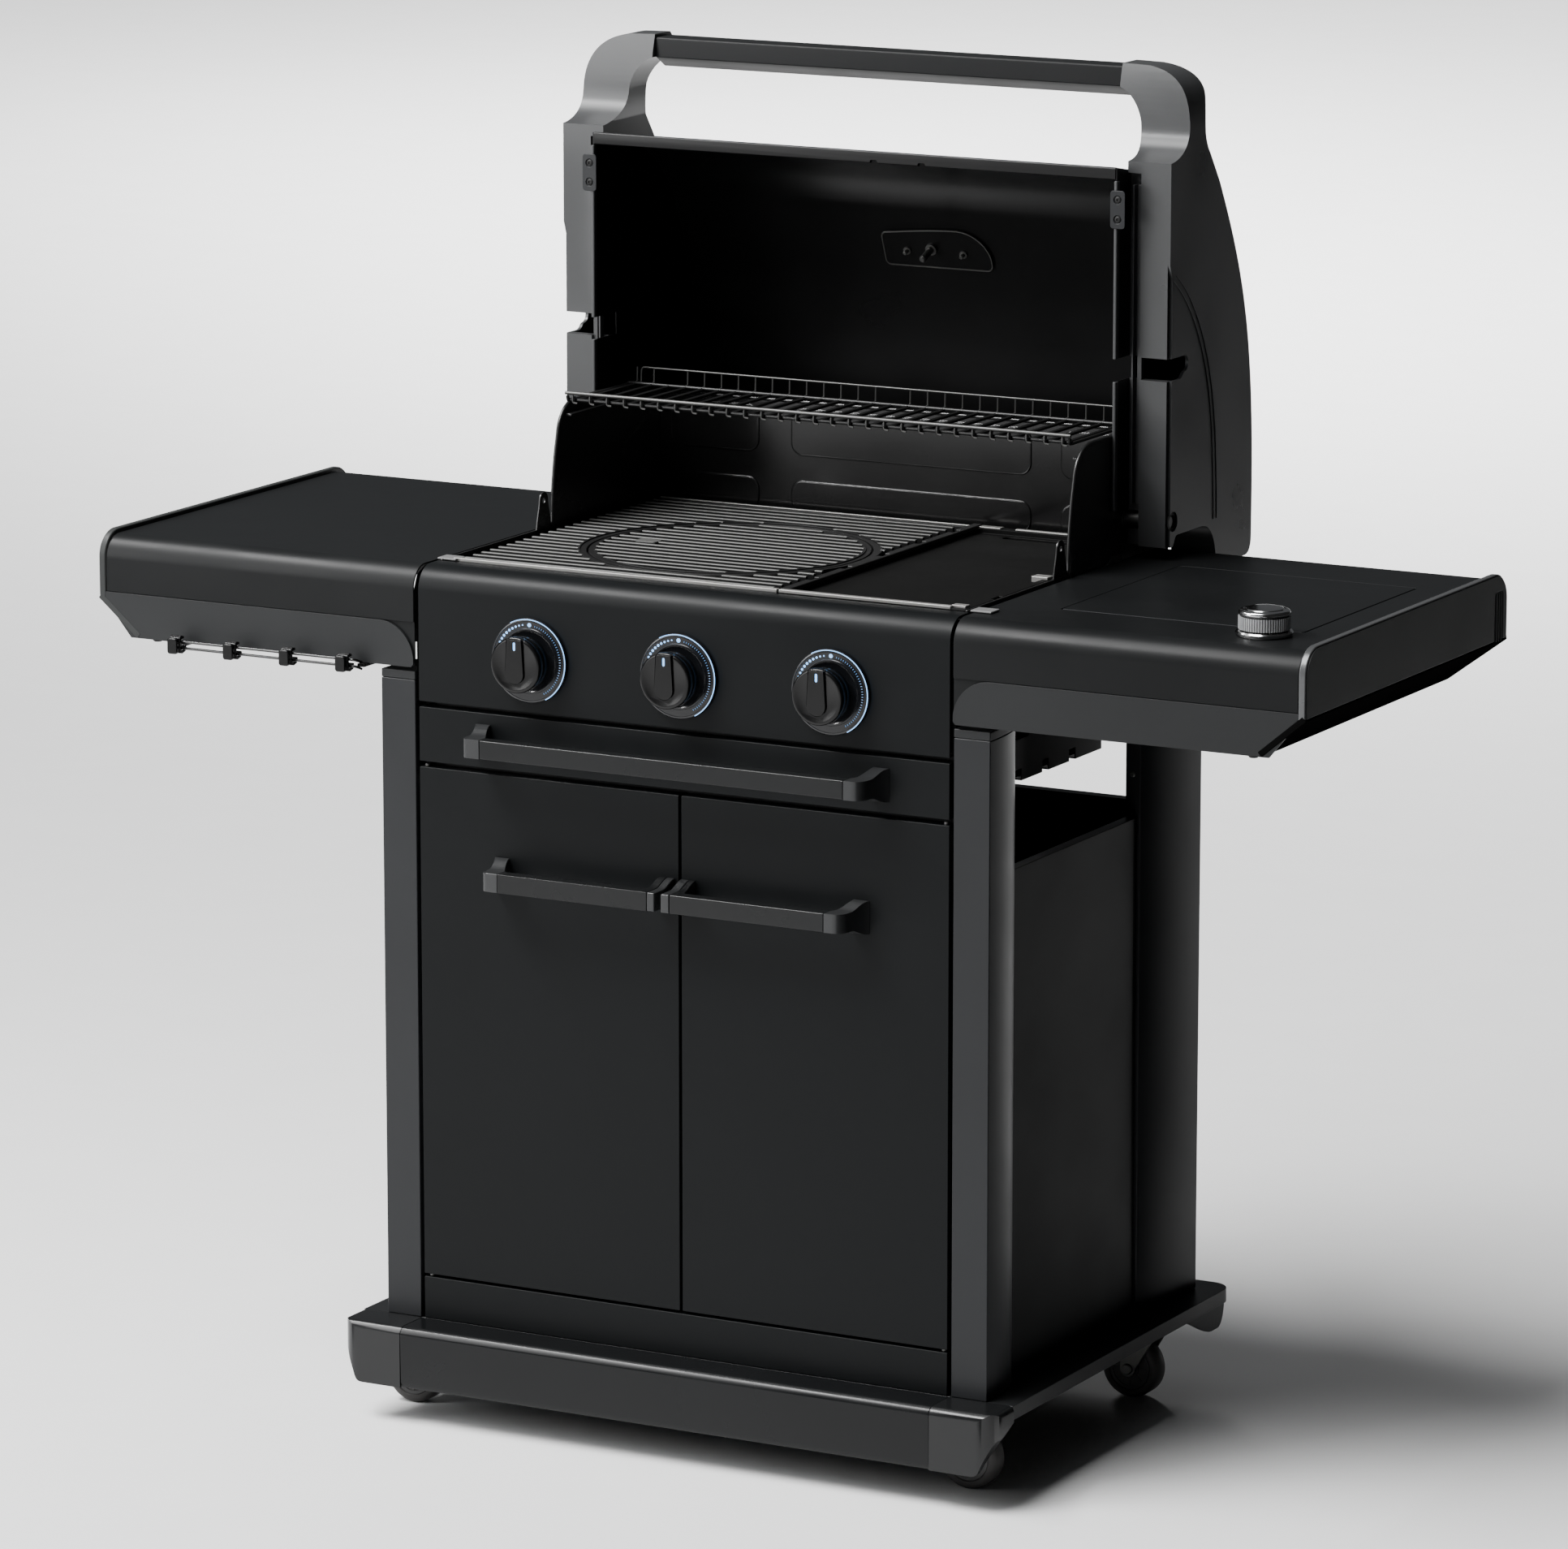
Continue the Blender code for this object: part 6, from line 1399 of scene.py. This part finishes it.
def build_shelf_under(name, side, out, low_x, face_y, y1, tail):
    """What closes the shelf below: the rear slope, a front roll, bearers, ribs and the rubber foot."""
    inner = SHELF_IN
    closing = [(tail - 0.001, SHELF_LOW + 0.0001), (tail + 0.0005, SHELF_LOW + 0.0001),
               (y1 - 0.0002, CAP_LOW - 0.0005),
               (y1 - 0.0002, CAP_LOW + 0.003), (tail - 0.001, SHELF_LOW + 0.003)]
    above = [(low_x - 0.01, SHELF_LOW + 0.0005), (low_x, SHELF_LOW + 0.0005), (out, CAP_LOW + 0.0005),
             (out, 0.83),
             (low_x - 0.01, 0.83)]
    closed = carve(prism(closing, "x", *span(side, low_x - 0.0055, out - 0.0005)),
                   prism(mir(above, side), "y", 0.4, 0.5),
                   operation="INTERSECT")
    roll = [(side * x, face_y + 0.0070, SHELF_LOW + 0.0026) for x in (inner + 0.004, low_x - 0.001)]
    rest = [closed, tube(roll, 0.0024, 8),
            cuboid(*span(side, inner, out - 0.001), y1 - 0.0035, y1 - 0.0006, CAP_LOW, FASCIA_TOP),
            cuboid(*span(side, inner, inner + 0.003), face_y + 0.006, y1 - 0.002, 0.7975, FASCIA_TOP - 0.001)]
    rest += [cuboid(*span(side, 0.2958, inner + 0.001), y, y + 0.030, 0.802, 0.815) for y in (0.085, 0.385)]
    rest += [cuboid(*span(side, x, x + 0.0025), face_y + 0.006, y1 - 0.003, 0.806, FASCIA_TOP - 0.001)
             for x in (0.36, 0.47, 0.58)]
    piece(f"shelf_{name}_ribs", merge(*rest), RUBBER, "cart", bevel=0.0005)
    foot = lathe([(SHELF_LOW + 0.004, 0.0050), (SHELF_LOW - 0.0030, 0.0050), (SHELF_LOW - 0.0040, 0.0040)],
                 "z",
                 side * 0.614, 0.012, 20)
    piece(f"shelf_{name}_foot", foot, RUBBER, "cart", smooth=30)


SIDE_KNOB = (middle("side_burner_knob", 0), middle("side_burner_knob", 1))


def build_side_burner():
    x0, x1, y0, y1, z0, z1 = ext("side_burner_lid")
    lid = prism(round_rect(x0, x1, y0, y1, 0.003), "z", z0, z1 + 0.0002)
    piece("side_lid_plate", lid, PANEL_TOP, "side_lid", bevel=0.0008, stands_for=["side_burner_lid"])
    # A lighter thin line along the lid's front edge: painted highlight.
    rim = [tube([(x0 + 0.002, y0 + 0.0006, z1 - 0.0004), (x1 - 0.002, y0 + 0.0006, z1 - 0.0004)], 0.0006, 6)]
    piece("side_lid_front_edge_highlight", merge(*rim), CHARCOAL, "side_lid", smooth=60)
    bx0, bx1, by0, by1, bz0, bz1 = ext("side_burner")
    bowl = carve(cuboid(bx0, bx1, by0, by1, bz0, bz1),
                 prism(round_rect(bx0 + 0.012, bx1 - 0.012, by0 + 0.012, by1 - 0.012, 0.012), "z", bz0
                       + 0.002, bz1 + 0.01))
    piece("side_bowl", bowl, ENAMEL, "cart", bevel=0.0010, stands_for=["side_burner"])
    mx, my = (x0 + x1) / 2, (y0 + y1) / 2
    head = [(bz0 + 0.001, 0.026), (bz0 + 0.008, 0.026), (bz0 + 0.010, 0.033), (bz0 + 0.015, 0.034),
            (bz0 + 0.017, 0.030), (bz0 + 0.0185, 0.010)]
    piece("side_burner_head", lathe(head, "z", mx, my, 56), STEEL, "cart", smooth=30)
    # Black pegs round the head that stand for its port holes: painted shade, no holes are cut.
    crown = []
    for port in range(24):
        base = rod(mx + 0.0325, mx + 0.0344, 0.0011, "x", my, bz0 + 0.0125, 8)
        crown.append(turn(base, 15 * port, "Z", (mx, my, bz0)))
    piece("side_burner_ports", merge(*crown), DIAL_MARK, "cart")
    trivet = []
    for k in range(4):
        for shift in (-0.018, 0.018):
            bar = cuboid(mx + 0.020, mx + 0.116, my + shift - 0.0018, my + shift + 0.0018, bz0 + 0.0195, bz0
                         + 0.0290)
            trivet.append(turn(bar, 90 * k, "Z", (mx, my, bz0)))
    trivet.append(tube([(mx + a, my + b, bz0 + 0.0225) for a, b in circle(0, 0, 0.090, 48)], 0.0020, 8,
                       closed=True))
    piece("side_trivet", merge(*trivet), DARK_IRON, "cart", bevel=0.0006)
    build_side_knob()


def build_side_knob():
    x, y = SIDE_KNOB
    low = ext("side_burner_knob")[5] - 0.0265
    collar = [(low - 0.0012, 0.0268), (low + 0.0006, 0.0280), (low + 0.0022, 0.0280), (low + 0.0036, 0.0268),
              (low + 0.0040, 0.0240)]
    piece("side_knob_collar", lathe(collar, "z", x, y, 80), CHROME, "side_knob", smooth=40,
          stands_for=["side_burner_knob"])
    teeth = 60
    grip = []
    for i in range(teeth * 4):
        t = 2 * math.pi * i / (teeth * 4)
        r = 0.0250 if i % 4 in (0, 1) else 0.0241
        grip.append((x + r * math.cos(t), y + r * math.sin(t)))
    piece("side_knob_grip", prism(grip, "z", low + 0.0052, low + 0.0175), KNURL, "side_knob", smooth=20)
    gaps = merge(rod(low + 0.0038, low + 0.0054, 0.0225, "z", x, y, 48),
                 rod(low + 0.0174, low + 0.0192, 0.0232, "z", x, y, 48))
    piece("side_knob_gaps", gaps, RUBBER, "side_knob", smooth=30)
    cap = [(low + 0.0190, 0.0245), (low + 0.0200, 0.0252), (low + 0.0216, 0.0252), (low + 0.0232, 0.0240),
           (low + 0.0242, 0.0215)]
    cap += [(low + 0.0243, 0.0205), (low + 0.0238, 0.0200), (low + 0.0238, 0.0192), (low + 0.0246, 0.0184)]
    cap += [(low + 0.0246 + 0.0018 * math.sin(math.radians(90 * k / 8)),
             0.0184 * math.cos(math.radians(90 * k / 8))) for k in range(1, 8)]
    piece("side_knob_cap", lathe(cap, "z", x, y, 80), CHROME, "side_knob", smooth=40)
    spindle = rod(low - 0.010, low, 0.0050, "z", x, y, 24)
    piece("side_knob_spindle", spindle, ZINC, "side_knob", smooth=30)


def build_hooks():
    first, pitch = -0.5712, 0.0662
    y, z = -0.020, 0.7742
    last = first + 3 * pitch
    wires = []
    for dz, dy in ((0.0035, 0.0), (-0.0035, 0.002)):
        path = [(first - 0.006, -0.008, z + dz - 0.004), (first - 0.006, y + dy, z + dz),
                (last + 0.013, y + dy, z + dz),
                (last + 0.013, -0.008, z + dz - 0.004)]
        wires.append(tube(fillet(path, 0.006, 5), 0.0014, 8))
    for x in (first - 0.006, last + 0.013):
        wires.append(cuboid(x - 0.0040, x + 0.0040, -0.0095, 0.0165, 0.7690, 0.7720))
        wires.append(cuboid(x - 0.0040, x + 0.0040, 0.0105, 0.0165, 0.7710, 0.7900))
    piece("hook_rail_wires", merge(*wires), RAIL, "cart", smooth=50, stands_for=["hook_rail"])
    knobs, backs = [], []
    for i in range(4):
        x = first + i * pitch
        knobs.append(prism(round_rect(x - 0.0058, x + 0.0058, z - 0.0085, z + 0.0078, 0.0028), "y",
                           y - 0.0090, y - 0.0035))
        hook = [(y - 0.0036, z + 0.0076), (y - 0.0036, z - 0.0080), (y + 0.0020, z - 0.0092),
                (y + 0.0080, z - 0.0075), (y + 0.0098, z - 0.0020),
                (y + 0.0072, z - 0.0010), (y + 0.0058, z - 0.0050), (y + 0.0018, z - 0.0062),
                (y - 0.0004, z - 0.0050), (y - 0.0004, z + 0.0050),
                (y + 0.0050, z + 0.0060), (y + 0.0050, z + 0.0085), (y + 0.0002, z + 0.0098)]
        backs.append(prism(hook, "x", x - 0.0064, x + 0.0064))
    piece("hook_knobs", merge(*knobs), KNOB, "cart", bevel=0.0013, segments=3)
    piece("hook_backs", merge(*backs), KNOB, "cart", bevel=0.0008)


# ------------------------------------------------------------------ stage
def build_world():
    """Dim surroundings, a little brighter to the front left, that the camera sees as pale."""
    world = bpy.data.worlds.new("studio")
    bpy.context.scene.world = world
    world.use_nodes = True
    nodes, links = world.node_tree.nodes, world.node_tree.links
    nodes.clear()
    output = nodes.new("ShaderNodeOutputWorld")
    dim = nodes.new("ShaderNodeBackground")
    dim.inputs["Color"].default_value = (0.93, 0.96, 1.0, 1)
    dim.inputs["Strength"].default_value = 0.10
    pale = nodes.new("ShaderNodeBackground")
    pale.inputs["Color"].default_value = (0.92, 0.92, 0.92, 1)
    pale.inputs["Strength"].default_value = 1.0
    path = nodes.new("ShaderNodeLightPath")
    mix = nodes.new("ShaderNodeMixShader")
    links.new(path.outputs["Is Camera Ray"], mix.inputs["Fac"])
    links.new(dim.outputs["Background"], mix.inputs[1])
    links.new(pale.outputs["Background"], mix.inputs[2])
    links.new(mix.outputs["Shader"], output.inputs["Surface"])


def build_floor():
    bm = bmesh.new()
    bmesh.ops.create_grid(bm, x_segments=1, y_segments=1, size=60)
    floor = linked("floor", bm)
    floor.location = (0, 0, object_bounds()[0].z - 0.0002)
    pale = surface("studio_floor", (0.86, 0.86, 0.86), 0.80, level=0.0, mottle=0.01, grain=300,
                   bump=0.02, vary=0.02)
    floor.data.materials.append(pale)


def build_flag():
    """Two black cards on the right that keep the floor's glow off the right-hand faces."""
    bm = bmesh.new()
    for x, back, low, high in ((0.72, 1.10, -0.1, 0.70), (1.05, 3.40, 0.45, 2.60)):
        corners = [(x, -1.8, low), (x, back, low), (x, back, high), (x, -1.8, high)]
        bm.faces.new([bm.verts.new(c) for c in corners])
    flag = linked("flag", bm)
    flag.data.materials.append(surface("flag_cloth", (0.012, 0.012, 0.012), 0.9, level=0.0, grain=400))
    flag.visible_camera = False
    flag.visible_shadow = False


def build_lights():
    sun = bpy.data.lights.new("key_sun", "SUN")
    sun.energy = SUN[1]
    sun.angle = math.radians(35)
    sun_object = bpy.data.objects.new("key_sun", sun)
    sun_object.rotation_euler = Vector(SUN[0]).to_track_quat("-Z", "Y").to_euler()
    bpy.context.scene.collection.objects.link(sun_object)
    for name, at, aim, size, energy in LIGHTS:
        light = bpy.data.lights.new(name, "AREA")
        light.shape = "RECTANGLE"
        light.size, light.size_y = size
        light.energy = energy
        obj = bpy.data.objects.new(name, light)
        obj.location = at
        obj.rotation_euler = (Vector(aim) - Vector(at)).to_track_quat("-Z", "Y").to_euler()
        obj.visible_glossy = name != "backdrop_light"
        bpy.context.scene.collection.objects.link(obj)


SUN = ((0.42, 0.52, -1.30), 4.2)
# name, place, aim, size, watts
LIGHTS = [
    ("front_left_box", (-2.2, -2.6, 1.9), (0, -0.2, 0.8), (1.2, 2.2), 70),
    ("top_strip", (-1.3, -1.05, 2.75), (-0.3, -0.25, 0.85), (2.4, 0.12), 95),
    ("backdrop_light", (-4.2, 7.0, 3.2), (-1.5, 9.5, 0.0), (6.0, 2.0), 750),
]


def build_camera():
    camera = bpy.data.cameras.new("camera")
    camera.lens = 180.13
    camera.sensor_width = 36
    camera.sensor_fit = "HORIZONTAL"
    camera.clip_end = 200
    obj = bpy.data.objects.new("camera", camera)
    bpy.context.scene.collection.objects.link(obj)
    azimuth, elevation, distance = math.radians(28.42), math.radians(11.80), 7.874
    aim = Vector((0.0081, 0.2 + FRONT, 0.6572))
    out = Vector((math.sin(azimuth) * math.cos(elevation), -math.cos(azimuth) * math.cos(elevation),
                  math.sin(elevation)))
    obj.location = aim + out * distance
    obj.rotation_euler = (-out).to_track_quat("-Z", "Y").to_euler()
    bpy.context.scene.camera = obj


build_camera()
build_doors()
build_handles()
build_drawer()
build_control_panel()
build_plinth()
build_posts()
build_cabinet_sheets()
build_base()
build_casters()
build_knobs()
build_firebox()
build_grates()
build_griddle()
build_rack()
build_burners()
build_hood_shell()
build_hood_ends()
build_hood_handle()
build_thermometer()
build_shelves()
build_side_burner()
build_hooks()
build_world()
build_floor()
build_flag()
build_lights()
